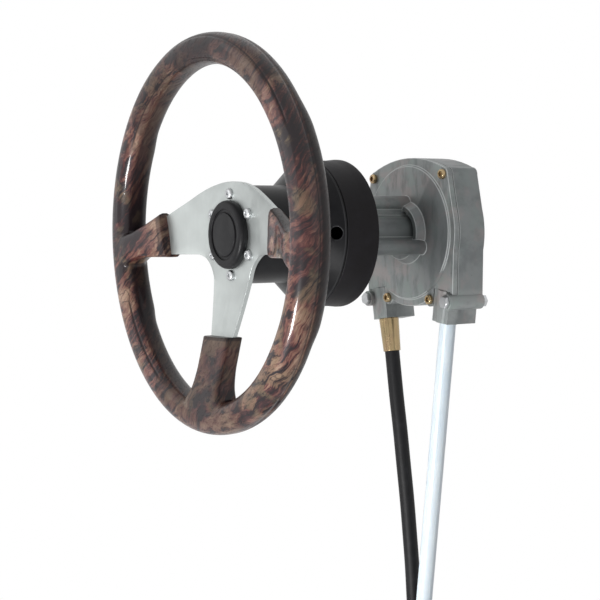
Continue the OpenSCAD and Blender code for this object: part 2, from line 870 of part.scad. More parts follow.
module bezel_screws() {
    seat = web_height + web_t;
    head_d = bezel_screw_d * bezel_head;
    head_h = bezel_screw_d * bezel_head_h;
    color("silver")
        along_shaft()
            at_angles(post_circle_d / 2, post_angles)
                screw(bezel_screw_d, bezel_screw_len, head_d, head_h, seat);
}

// Gearbox case

// Outline of the case's shoulders: an arc over its top that ends just inside the upper screw bosses, and straight
// lines below them that end just inside the case's circle
function shoulders() =
    let (inner_r = case_r - slab_inset / 2, boss_r = (screw_boss_d - slab_inset) / 2)
    let (spread = acos((inner_r - boss_r) / (case_r + top_screw_out)))
    let (boss = [top_screw_x, top_screw_z])
    let (low_way = [cos(top_screw_angle - spread), sin(top_screw_angle - spread)])
    let (top_z = case_r + top_rise)
    let (drop = top_z - top_screw_z)
    let (crown_r = (top_screw_x * top_screw_x + drop * drop - boss_r * boss_r) / (2 * (drop - boss_r)))
    let (crown_z = top_z - crown_r)
    let (start = atan2(top_screw_z - crown_z, top_screw_x))
    let (side = [inner_r * low_way, boss + boss_r * low_way, boss])
    concat(
        side,
        arc([0, crown_z], crown_r, start, 180 - start),
        [for (i = [2:-1:0]) [-side[i][0], side[i][1]]]
    );

// Case between two levels: round, with shoulders out to the screw bosses and straight lower sides to the clamps
module case_block(low, high) {
    side_x = case_r - side_inset;
    foot_x = side_x - side_inset;
    foot_z = clamp_barrel_d / 3 - clamp_z;
    union() {
        ring(case_r, 0, low, high);
        both_sides() {
            translate([top_screw_x, top_screw_z, 0])
                ring(screw_boss_d / 2, 0, low, high);
            translate([low_screw_x, -low_screw_z, 0])
                ring(low_boss_d / 2, 0, low, high);
        }
        translate([0, 0, low])
            linear_extrude(high - low)
                polygon(shoulders());
        translate([0, 0, low])
            linear_extrude(high - low)
                polygon([[-side_x, -side_start], [side_x, -side_start], [foot_x, foot_z], [-foot_x, foot_z]]);
    }
}

// Frame of the right cable port: the origin is where the cable leaves the drum, and -y runs down the port
module port_frame() {
    rotate([0, 0, -port_lean])
        translate([pitch_r, 0, cable_z])
            children();
}

// Round bar or ring down a port, between two distances from the drum
module port_bar(outer_r, bore_r, start, end) {
    rotate([90, 0, 0])
        ring(outer_r, bore_r, start, end);
}

// Outline of a port barrel seen along the shaft, with a margin at its sides and another at its ends
module port_outline(side_margin, end_margin) {
    rotate(-port_lean)
        translate([pitch_r - port_d / 2 - side_margin, -port_end - end_margin])
            square([port_d + 2 * side_margin, port_end - port_start + 2 * end_margin]);
}

// Centres of the four cover screws
module at_cover_screws() {
    both_sides() {
        translate([top_screw_x, top_screw_z, 0])
            children();
        translate([low_screw_x, -low_screw_z, 0])
            children();
    }
}

// Cover or gasket between two levels: the case without the port and clamp barrels
module cover_block(low, high) {
    difference() {
        case_block(low, high);
        both_sides() {
            translate([0, 0, low - cut])
                linear_extrude(high - low + 2 * cut)
                    port_outline(core_gap, core_gap);
            translate([clamp_x, -clamp_z, low - cut])
                cylinder(d = clamp_barrel_d + 2 * core_gap, h = high - low + 2 * cut);
        }
    }
}

module front_cover() {
    bore_h = nose_z - cover_z + 2 * cover_t;
    color("#8a8f8f")
        along_shaft()
            difference() {
                union() {
                    cover_block(seam_z, cover_z);
                    translate([0, 0, cover_z - eps])
                        cylinder(r1 = pad_r, r2 = pad_r - pad_h / 2, h = pad_h);
                    difference() {
                        translate([0, 0, cover_z + pad_h - eps])
                            cylinder(d1 = collar_d, d2 = collar_d - collar_h, h = collar_h);
                        translate([0, 0, cover_z + pad_h + collar_h - groove_depth])
                            cylinder(d = shaft_tube_d + 2 * groove_w, h = groove_depth + cut);
                    }
                    ring(shaft_tube_d / 2, 0, cover_z, nose_z);
                    at_angles(post_circle_d / 2, post_angles) {
                        ring(post_d / 2, 0, cover_z, web_height);
                        translate([-post_circle_d / 2, -post_web_w / 2, cover_z])
                            cube([post_circle_d / 2, post_web_w, web_height - cover_z]);
                    }
                }
                translate([0, 0, cover_z - cover_t - cut])
                    cylinder(r = bush_r, h = bore_h);
                translate([0, 0, nose_z - seal_depth])
                    cylinder(r = seal_r, h = seal_depth + cut);
                translate([0, 0, seam_z - cut])
                    cylinder(r = cavity_r, h = cavity_z - seam_z + cut);
                at_cover_screws()
                    translate([0, 0, seam_z - cut])
                        cylinder(d = cover_screw_d + 2 * seat_gap, h = cover_t + 2 * cut);
                at_angles(post_circle_d / 2, post_angles)
                    translate([0, 0, web_height + web_t - bezel_screw_len - cut])
                        cylinder(d = bezel_screw_d + 2 * seat_gap, h = bezel_screw_len);
            }
}

module cover_gasket() {
    color("#3a4a3a")
        along_shaft()
            difference() {
                cover_block(housing_z, seam_z);
                translate([0, 0, housing_z - cut])
                    cylinder(r = cavity_r, h = gasket_t + 2 * cut);
                at_cover_screws()
                    translate([0, 0, housing_z - cut])
                        cylinder(d = cover_screw_d + 2 * seat_gap, h = gasket_t + 2 * cut);
            }
}

module rear_housing() {
    clamp_len = clamp_front_z - housing_back_z;
    slab_low_z = housing_back_z + side_inset;
    slab_len = cover_z - core_gap - slab_low_z;
    color("#7e8484")
        along_shaft()
            difference() {
                union() {
                    case_block(housing_back_z, housing_z);
                    both_sides() {
                        port_frame()
                            port_bar(port_d / 2, 0, port_start, port_end);
                        translate([0, 0, slab_low_z])
                            linear_extrude(slab_len)
                                port_outline(-slab_inset, 0);
                        translate([clamp_x, -clamp_z, 0])
                            ring(clamp_barrel_d / 2, 0, housing_back_z, clamp_front_z);
                    }
                }
                translate([0, 0, step_z])
                    cylinder(r = cavity_r, h = housing_depth);
                translate([0, 0, wall_z])
                    cylinder(r = ring_r + seat_gap, h = housing_depth);
                translate([0, 0, wall_z - tail_seat])
                    cylinder(r = tail_bush_r + seat_gap, h = housing_depth);
                both_sides() {
                    port_frame() {
                        port_bar(channel_r, 0, 0, port_end);
                        port_bar(tube_d / 2 + seat_gap, 0, port_end - port_seat, port_end + cut);
                    }
                    translate([clamp_x, -clamp_z, housing_back_z - cut])
                        cylinder(d = clamp_bolt_d + 2 * seat_gap, h = clamp_len + 2 * cut);
                }
                at_cover_screws()
                    translate([0, 0, cover_z - cover_screw_len - cut])
                        cylinder(d = cover_screw_d + 2 * seat_gap, h = cover_screw_len);
            }
}

module cover_screws() {
    color("#c9b46e")
        along_shaft()
            at_cover_screws()
                screw(cover_screw_d, cover_screw_len, cover_head_d, cover_head_h, cover_z);
}

module clamp_bolts() {
    color("silver")
        along_shaft()
            both_sides()
                translate([clamp_x, -clamp_z, 0]) {
                    hexagon(clamp_flats, clamp_front_z, clamp_front_z + clamp_head_h);
                    ring(clamp_bolt_d / 2, 0, housing_back_z - clamp_nut_h - clip_t, clamp_front_z + eps);
                }
}

module clamp_nuts() {
    color("silver")
        along_shaft()
            both_sides()
                translate([clamp_x, -clamp_z, 0])
                    difference() {
                        hexagon(clamp_flats, housing_back_z - clamp_nut_h, housing_back_z);
                        translate([0, 0, housing_back_z - clamp_nut_h - cut])
                            cylinder(d = clamp_bolt_d + 2 * seat_gap, h = clamp_nut_h + 2 * cut);
                    }
}

// Bushes and seal

module shaft_seal() {
    color("#1d1d1d")
        along_shaft()
            ring(seal_r - seat_gap, shaft_r + run_gap, nose_z - seal_depth, nose_z);
}

module front_bush() {
    top = nose_z - seal_depth - core_gap;
    color("#b08d57")
        along_shaft()
            ring(bush_r - seat_gap, shaft_r + run_gap, top - bush_len, top);
}

module cover_bush() {
    low = cover_z - end_play;
    color("#b08d57")
        along_shaft()
            ring(bush_r - seat_gap, shaft_r + run_gap, low, low + bush_len);
}

module tail_bush() {
    color("#b08d57")
        along_shaft()
            ring(tail_bush_r, tail_r + run_gap, wall_z - tail_seat, tail_bush_z);
}

// Gear train

module ring_gear() {
    pitch = gear_module * ring_teeth / 2;
    color("#9a9aa0")
        along_shaft()
            translate([0, 0, wall_z])
                linear_extrude(step_z - half_play - wall_z)
                    difference() {
                        circle(r = ring_r);
                        polygon(gear_outline(ring_teeth, pitch + tooth_down, pitch - tooth_up));
                    }
}

// Grooved drum that carries the planet pins
module cable_drum() {
    color("#8f8f95")
        along_shaft()
            difference() {
                rotate_extrude()
                    difference() {
                        translate([0, drum_back_z])
                            square([drum_r, drum_t]);
                        translate([pitch_r, cable_z])
                            circle(r = groove_r);
                        translate([pitch_r, cable_z - groove_r])
                            square([drum_r, 2 * groove_r]);
                    }
                translate([0, 0, drum_back_z - cut])
                    cylinder(r = bush_r, h = drum_t + 2 * cut);
                at_angles(orbit_r, planet_angles)
                    translate([0, 0, drum_back_z - cut])
                        cylinder(d = pin_d + 2 * seat_gap, h = pin_seat + cut);
            }
}

module drum_bush() {
    color("#b08d57")
        along_shaft()
            ring(bush_r - seat_gap, shaft_r + run_gap, drum_back_z, drum_front_z);
}

module thrust_washer() {
    color("#d8d0b0")
        along_shaft()
            ring(bush_r + thrust_w, bush_r, drum_front_z, drum_front_z + thrust_t);
}

module planet_pins() {
    color("#b8b8bc")
        along_shaft()
            at_angles(orbit_r, planet_angles)
                difference() {
                    ring(pin_d / 2, 0, pin_back_z, drum_back_z + pin_seat - seat_gap);
                    clip_groove(pin_d / 2, pin_clip_z);
                }
}

module planet_clips() {
    color("dimgray")
        along_shaft()
            at_angles(orbit_r, planet_angles)
                clip(pin_d / 2, pin_clip_z);
}

// Planet gear on one of the drum's pins
module planet_gear(number) {
    angle = planet_angles[number - 1];
    color("#a8a8ae")
        along_shaft()
            translate([orbit_r * cos(angle), orbit_r * sin(angle), 0])
                difference() {
                    rotate([0, 0, planet_turn])
                        gear(planet_teeth, planet_back_z, planet_front_z);
                    translate([0, 0, planet_back_z - cut])
                        cylinder(r = pin_d / 2 + run_gap, h = planet_w + 2 * cut);
                }
}

// Cable, tube and their fittings

// Core over the top of the drum and down both ports
module cable_core() {
    color("#9c9ca2")
        along_shaft() {
            rotate([0, 0, -port_lean])
                translate([0, 0, cable_z])
                    rotate_extrude(angle = 180 + 2 * port_lean)
                        translate([pitch_r, 0])
                            circle(r = core_r);
            port_frame()
                port_bar(core_r, 0, -eps, port_end - port_seat + core_tail);
            mirror([1, 0, 0])
                port_frame()
                    port_bar(core_r, 0, -eps, port_end);
        }
}

module cable_ferrule() {
    color("#c8a860")
        along_shaft()
            mirror([1, 0, 0])
                port_frame()
                    difference() {
                        union() {
                            port_bar(tube_d / 2, 0, port_end - port_seat, port_end + eps);
                            translate([0, -port_end, 0])
                                rotate([90, 0, 0])
                                    cylinder(d1 = ferrule_d, d2 = ferrule_neck_d, h = ferrule_len);
                        }
                        port_bar(core_r + core_gap, 0, port_end - port_seat - cut, port_end + core_gap);
                    }
}

module spent_tube() {
    start = port_end - port_seat;
    color("#cfe0ea")
        along_shaft()
            port_frame()
                port_bar(tube_d / 2, tube_bore_d / 2, start, start + tube_len);
}

module tube_end_cap() {
    end = port_end - port_seat + tube_len;
    color("#e4e9ec")
        along_shaft()
            port_frame()
                difference() {
                    port_bar(tube_d / 2 + tube_cap_t, 0, end - tube_cap_len, end + tube_cap_t);
                    port_bar(tube_d / 2 + seat_gap, 0, end - tube_cap_len - cut, end);
                }
}

// Sweeps a many-sided tube along points, square to the given directions
module swept_tube(points, directions, radius, sides) {
    count = len(points);
    rings = [for (i = [0 : count - 1])
        let (ahead = directions[i] / norm(directions[i]))
        let (across = cross(ahead, [1, 0, 0]))
        let (first = across / norm(across))
        let (second = cross(ahead, first))
        for (k = [0 : sides - 1])
            points[i] + radius * (cos(360 * k / sides) * first + sin(360 * k / sides) * second)];
    walls = [for (i = [0 : count - 2])
        for (k = [0 : sides - 1])
            let (a = i * sides + k)
            let (b = i * sides + (k + 1) % sides)
            for (face = [[a, a + sides, b], [b, a + sides, b + sides]])
                face];
    start = [for (k = [1 : sides - 2]) [0, k, k + 1]];
    last = (count - 1) * sides;
    finish = [for (k = [1 : sides - 2]) [last, last + k + 1, last + k]];
    polyhedron(points = rings, faces = concat(walls, start, finish));
}

// Directions along a list of points, with the two end directions given
function headings(points, first, last) =
    [for (i = [0 : len(points) - 1])
        i == 0 ? first
        : i == len(points) - 1 ? last
        : points[i + 1] - points[i - 1]];

// Middle line of the coil: loops spiral in, climb a layer where the spiral reverses, and spiral out again
function coil_r(turn) = coil_out_r - coil_step * min(turn, coil_loops - turn);
function coil_layer(turn) = coil_step * max(-0.5, min(0.5, 2 * (turn - coil_loops / 2)));
function coil_point(turn) =
    [coil_x, coil_y, coil_z]
    + [coil_layer(turn), coil_r(turn) * cos(360 * turn), -coil_r(turn) * sin(360 * turn)];

coil_top = coil_point(0) + [0, 0, cable_d];
coil_bottom = coil_point(coil_loops) - [0, 0, cable_d];
coil_line = concat(
    [coil_top],
    [for (i = [0 : coil_rings * coil_loops]) coil_point(i / coil_rings)],
    [coil_bottom]
);
down = [0, 0, -1];

// Least distance between points of the coil that are more than half a loop apart, less the cable itself
coil_gaps = [for (i = [0 : len(coil_line) - 1])
    for (j = [i + coil_rings / 2 : 1 : len(coil_line) - 1])
        norm(coil_line[i] - coil_line[j]) - cable_d];
echo(coil_least_gap = min(coil_gaps));

mouth_point = [mouth_x, mouth_y, mouth_z];
mouth_heading = [sin(port_lean), 0, -cos(port_lean)];
cable_line = concat([mouth_point], cable_points, [coil_top]);
anchor_top = coil_bottom + tail_len * down;

module steering_cable() {
    color("#1a1a1b")
        swept_tube(cable_line, headings(cable_line, mouth_heading, down), cable_d / 2, cable_sides);
}

module cable_coil() {
    color("#1a1a1b")
        swept_tube(coil_line, headings(coil_line, down, down), cable_d / 2, coil_sides);
}

module cable_tail() {
    line = [coil_bottom, (coil_bottom + anchor_top) / 2, anchor_top];
    color("#1a1a1b")
        swept_tube(line, headings(line, down, down), cable_d / 2, cable_sides);
}

// Two flat ties around the bundle of loops
module coil_ties() {
    half_r = coil_step * coil_loops / 8 + coil_step / 8 + cable_d / 2 + core_gap;
    half_x = (coil_step + cable_d) / 2 + core_gap;
    color("#2b2b2b")
        for (turn = tie_turns)
            translate([coil_x, coil_y, coil_z])
                rotate([-360 * turn, 0, 0])
                    translate([0, coil_mid_d / 2, -tie_w / 2])
                        linear_extrude(tie_w)
                            difference() {
                                square([2 * half_x + 2 * tie_t, 2 * half_r + 2 * tie_t], center = true);
                                square([2 * half_x, 2 * half_r], center = true);
                            }
}

// Sleeve and threaded end that hold the cable's far end
module cable_anchor() {
    color("#c0c0c4")
        translate(anchor_top) {
            ring(anchor_sleeve_d / 2, 0, -anchor_sleeve_len, 0);
            ring(anchor_thread_d / 2, 0, -anchor_sleeve_len - anchor_thread_len, -anchor_sleeve_len + eps);
        }
}

module anchor_nut() {
    high = -anchor_sleeve_len - cut;
    color("silver")
        translate(anchor_top)
            difference() {
                hexagon(anchor_flats, high - anchor_nut_h, high);
                translate([0, 0, high - anchor_nut_h - cut])
                    cylinder(d = anchor_thread_d + 2 * seat_gap, h = anchor_nut_h + 2 * cut);
            }
}

module anchor_cap() {
    end = -anchor_sleeve_len - anchor_thread_len;
    color("#222224")
        translate(anchor_top)
            ring(anchor_cap_d / 2, 0, end - anchor_cap_h, end);
}

rim_front();
rim_rear();
spoke_plate();
wheel_screws();
cap_ring();
cap_disc();
wheel_hub();
shaft_nut();
nut_washer();
shaft_key();
steering_shaft();
shaft_clip();
bezel();
bezel_screws();
front_cover();
rear_housing();
cover_gasket();
cover_screws();
clamp_bolts();
clamp_nuts();
shaft_seal();
front_bush();
cover_bush();
tail_bush();
ring_gear();
cable_core();
cable_ferrule();
steering_cable();
cable_coil();
coil_ties();
cable_tail();
cable_anchor();
anchor_nut();
anchor_cap();
spent_tube();
tube_end_cap();
cable_drum();
drum_bush();
thrust_washer();
planet_pins();
planet_clips();
planet_gear(1);  // planet_gear_1
planet_gear(2);  // planet_gear_2
planet_gear(3);  // planet_gear_3
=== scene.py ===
"""Boat steering helm: worked surfaces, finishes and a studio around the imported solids."""
from __future__ import annotations

import logging
import math
from dataclasses import dataclass, field
from enum import Enum
from typing import Mapping, Sequence, Union

import bmesh
import bpy
import numpy as np
from mathutils import Matrix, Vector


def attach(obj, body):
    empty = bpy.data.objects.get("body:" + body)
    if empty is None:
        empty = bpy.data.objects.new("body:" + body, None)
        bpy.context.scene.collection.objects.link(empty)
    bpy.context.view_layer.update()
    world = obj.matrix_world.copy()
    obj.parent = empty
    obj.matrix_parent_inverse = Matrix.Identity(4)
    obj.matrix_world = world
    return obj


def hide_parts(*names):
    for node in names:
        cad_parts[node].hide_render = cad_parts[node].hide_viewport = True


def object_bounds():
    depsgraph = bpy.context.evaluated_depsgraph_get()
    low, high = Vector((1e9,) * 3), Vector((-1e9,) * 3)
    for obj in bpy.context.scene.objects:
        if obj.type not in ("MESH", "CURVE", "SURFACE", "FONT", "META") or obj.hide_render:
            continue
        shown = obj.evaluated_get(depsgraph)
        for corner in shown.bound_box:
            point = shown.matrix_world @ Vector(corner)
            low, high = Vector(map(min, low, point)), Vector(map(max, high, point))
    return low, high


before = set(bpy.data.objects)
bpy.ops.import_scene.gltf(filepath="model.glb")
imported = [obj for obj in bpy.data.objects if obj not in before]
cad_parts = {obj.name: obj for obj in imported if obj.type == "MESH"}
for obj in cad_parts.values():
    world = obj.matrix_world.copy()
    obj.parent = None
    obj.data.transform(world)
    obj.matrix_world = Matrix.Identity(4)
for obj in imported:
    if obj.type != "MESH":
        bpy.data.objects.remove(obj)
CAD_BOX = [[float(value) for value in corner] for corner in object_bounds()]

LOG = logging.getLogger("helm")
MM = 0.001
TURN = 2 * math.pi
SIXTH = TURN / 6
EDGE = "edge"
WHITE = (1.0, 1.0, 1.0, 1.0)
Triple = tuple[float, float, float]
Colour = Triple
Span = tuple[float, float]
Term = Union["Value", float, Sequence[float]]


# Shader graphs


class Value:
    """A socket of a shader graph whose arithmetic adds Math nodes."""

    def __init__(self, graph: "Graph", socket: bpy.types.NodeSocket) -> None:
        """Keeps the graph and the output socket."""
        self.graph = graph
        self.socket = socket

    def math(self, operation: str, *terms: Term) -> "Value":
        """Adds a Math node with this value first, then the terms."""
        sockets = dict(enumerate((self, *terms)))
        return self.graph.add("ShaderNodeMath", {"operation": operation}, sockets)

    def __add__(self, other: Term) -> "Value":
        """This value plus another."""
        return self.math("ADD", other)

    def __sub__(self, other: Term) -> "Value":
        """This value less another."""
        return self.math("SUBTRACT", other)

    def __rsub__(self, other: float) -> "Value":
        """A number less this value."""
        return (self * -1.0) + other

    def __mul__(self, other: Term) -> "Value":
        """This value times another."""
        return self.math("MULTIPLY", other)

    def __pow__(self, other: float) -> "Value":
        """This value to a power."""
        return self.math("POWER", other)

    __radd__ = __add__
    __rmul__ = __mul__

    def distance(self) -> "Value":
        """The size of this value without its sign."""
        return self.math("ABSOLUTE")

    def most(self, *others: "Value") -> "Value":
        """The largest of this value and the others.

        Args:
            others: Values to compare with.

        Returns:
            The largest.
        """
        largest = self
        for other in others:
            largest = largest.math("MAXIMUM", other)
        return largest

    def swing(self, amount: float) -> "Value":
        """How far a noise is from its middle, times an amount."""
        return (self - 0.5) * amount

    def band(self, low: float, high: float) -> "Value":
        """Rises smoothly from 0 at low to 1 at high; with low above high it falls.

        Args:
            low: Where the result is 0.
            high: Where the result is 1.

        Returns:
            The smooth step.
        """
        return self.graph.add(
            "ShaderNodeMapRange",
            {"interpolation_type": "SMOOTHSTEP"},
            {0: self, 1: min(low, high), 2: max(low, high), 3: float(low > high), 4: float(low < high)},
        )


@dataclass(frozen=True)
class Cloud:
    """One noise: features a metre, octaves and roughness, after a stretch and a turn of its coordinates."""

    scale: float
    detail: float
    rough: float
    stretch: Triple | None = None
    turn: Triple = (0.0, 0.0, 0.0)


class Graph:
    """The node tree of one material or world."""

    def __init__(self, owner: Union[bpy.types.Material, bpy.types.World]) -> None:
        """Empties the owner's tree.

        Args:
            owner: Material or world whose nodes are made anew.
        """
        owner.use_nodes = True
        self.owner = owner
        self.tree = owner.node_tree
        self.tree.nodes.clear()

    def add(
        self,
        kind: str,
        settings: Mapping[str, object] | None = None,
        sockets: Mapping[Union[int, str], Term] | None = None,
        output: Union[int, str] = 0,
    ) -> Value:
        """Makes any node.

        Args:
            kind: The node's type name.
            settings: Properties that are set first; "stops" holds a ramp's (place, colour) pairs.
            sockets: Numbers, colours or values for the inputs, by index or name.
            output: Which output is wrapped.

        Returns:
            The output as a value.
        """
        node = self.tree.nodes.new(kind)
        for key, setting in (settings or {}).items():
            if key == "stops":
                self._set_stops(node.color_ramp, setting)
            else:
                setattr(node, key, setting)
        for key, term in (sockets or {}).items():
            if isinstance(term, Value):
                self.tree.links.new(term.socket, node.inputs[key])
            else:
                node.inputs[key].default_value = term
        return Value(self, node.outputs[output]) if len(node.outputs) else Value(self, None)

    @staticmethod
    def _set_stops(ramp: bpy.types.ColorRamp, stops: Sequence[tuple[float, Colour]]) -> None:
        """Gives a ramp as many elements as there are stops, then sets them.

        Args:
            ramp: The ramp to change.
            stops: Places and colours in order.
        """
        while len(ramp.elements) < len(stops):
            ramp.elements.new(0.5)
        for element, (place, colour) in zip(ramp.elements, stops):
            element.position = place
            element.color = (*colour, 1.0)

    def place(self) -> Value:
        """Object coordinates, which are the part's own metres."""
        return self.add("ShaderNodeTexCoord", output="Object")

    def parts(self, vector: Value) -> list[Value]:
        """The three numbers of a vector."""
        split = self.add("ShaderNodeSeparateXYZ", None, {0: vector})
        return [Value(self, socket) for socket in split.socket.node.outputs]

    def noise(self, place: Value, cloud: Cloud, output: str = "Fac") -> Value:
        """Cloudy noise; where the cloud has a stretch, a Mapping node turns and scales the coordinates.

        Args:
            place: Coordinates.
            cloud: The noise's numbers.
            output: Fac for a number or Color for three.

        Returns:
            The noise.
        """
        if cloud.stretch is not None:
            place = self.add("ShaderNodeMapping", None, {0: place, 2: cloud.turn, 3: cloud.stretch})
        sockets = {0: place, 2: cloud.scale, 3: cloud.detail, 4: cloud.rough}
        return self.add("ShaderNodeTexNoise", None, sockets, output)

    def ramp(self, factor: Value, stops: Sequence[tuple[float, Colour]]) -> Value:
        """A colour read from a ramp."""
        return self.add("ShaderNodeValToRGB", {"stops": stops}, {0: factor})

    def mix(self, factor: Term, first: Term, second: Term) -> Value:
        """A colour between two others."""
        first, second = (term if isinstance(term, Value) else (*term, 1.0) for term in (first, second))
        return self.add("ShaderNodeMix", {"data_type": "RGBA"}, {0: factor, 6: first, 7: second}, 2)

    def layered(self, colour: Term, *layers: tuple[Term, Term]) -> Term:
        """Lays colours over a first one, each given with its share.

        Args:
            colour: The lowest colour.
            layers: Shares and colours from the lowest up.

        Returns:
            The colour on top.
        """
        for share, over in layers:
            colour = self.mix(share, colour, over)
        return colour

    def shifted(self, place: Value, by: Value, amount: float) -> Value:
        """Coordinates moved by a noise colour, centred, times an amount in metres.

        Args:
            place: Coordinates in metres.
            by: A noise colour.
            amount: Reach in metres.

        Returns:
            The moved coordinates.
        """
        middle = self.add("ShaderNodeVectorMath", {"operation": "SUBTRACT"}, {0: by, 1: (0.5, 0.5, 0.5)})
        shift = self.add("ShaderNodeVectorMath", {"operation": "SCALE"}, {0: middle, "Scale": amount})
        return self.add("ShaderNodeVectorMath", {"operation": "ADD"}, {0: place, 1: shift})

    def joined(self, first: Term, second: Term, third: Term) -> Value:
        """A vector from three numbers."""
        return self.add("ShaderNodeCombineXYZ", None, {0: first, 1: second, 2: third})

    def edge(self) -> Value:
        """The share of rounded edge that a softened piece keeps in its own attribute."""
        return self.add("ShaderNodeAttribute", {"attribute_name": EDGE}, None, "Fac")

    def bump(self, height: Value, depth: float, strength: float) -> Value:
        """A normal from a height that spans the depth in metres."""
        return self.add("ShaderNodeBump", None, {"Strength": strength, "Distance": depth, "Height": height})

    def surface(self, sockets: Mapping[str, Term]) -> bpy.types.Material:
        """Ends the graph in one Principled shader with these sockets, and returns the material.

        Args:
            sockets: The shader's inputs by name.

        Returns:
            The material.
        """
        shader = self.add("ShaderNodeBsdfPrincipled", None, sockets)
        self.add("ShaderNodeOutputMaterial", None, {"Surface": shader})
        return self.owner


# Finishes


@dataclass(frozen=True)
class Finish:
    """A finish with a name; its material is made once and then shared."""

    name: str

    def material(self) -> bpy.types.Material:
        """Returns the shared material, made on first use.

        Returns:
            The material.
        """
        made = bpy.data.materials.get(self.name)
        if made is None:
            made = self.paint(Graph(bpy.data.materials.new(self.name)))
        return made

    def paint(self, graph: Graph) -> bpy.types.Material:
        """Fills the graph and returns its material."""
        raise NotImplementedError


def moved(span: Span, by: float) -> Span:
    """A span shifted by a distance."""
    return span[0] + by, span[1] + by


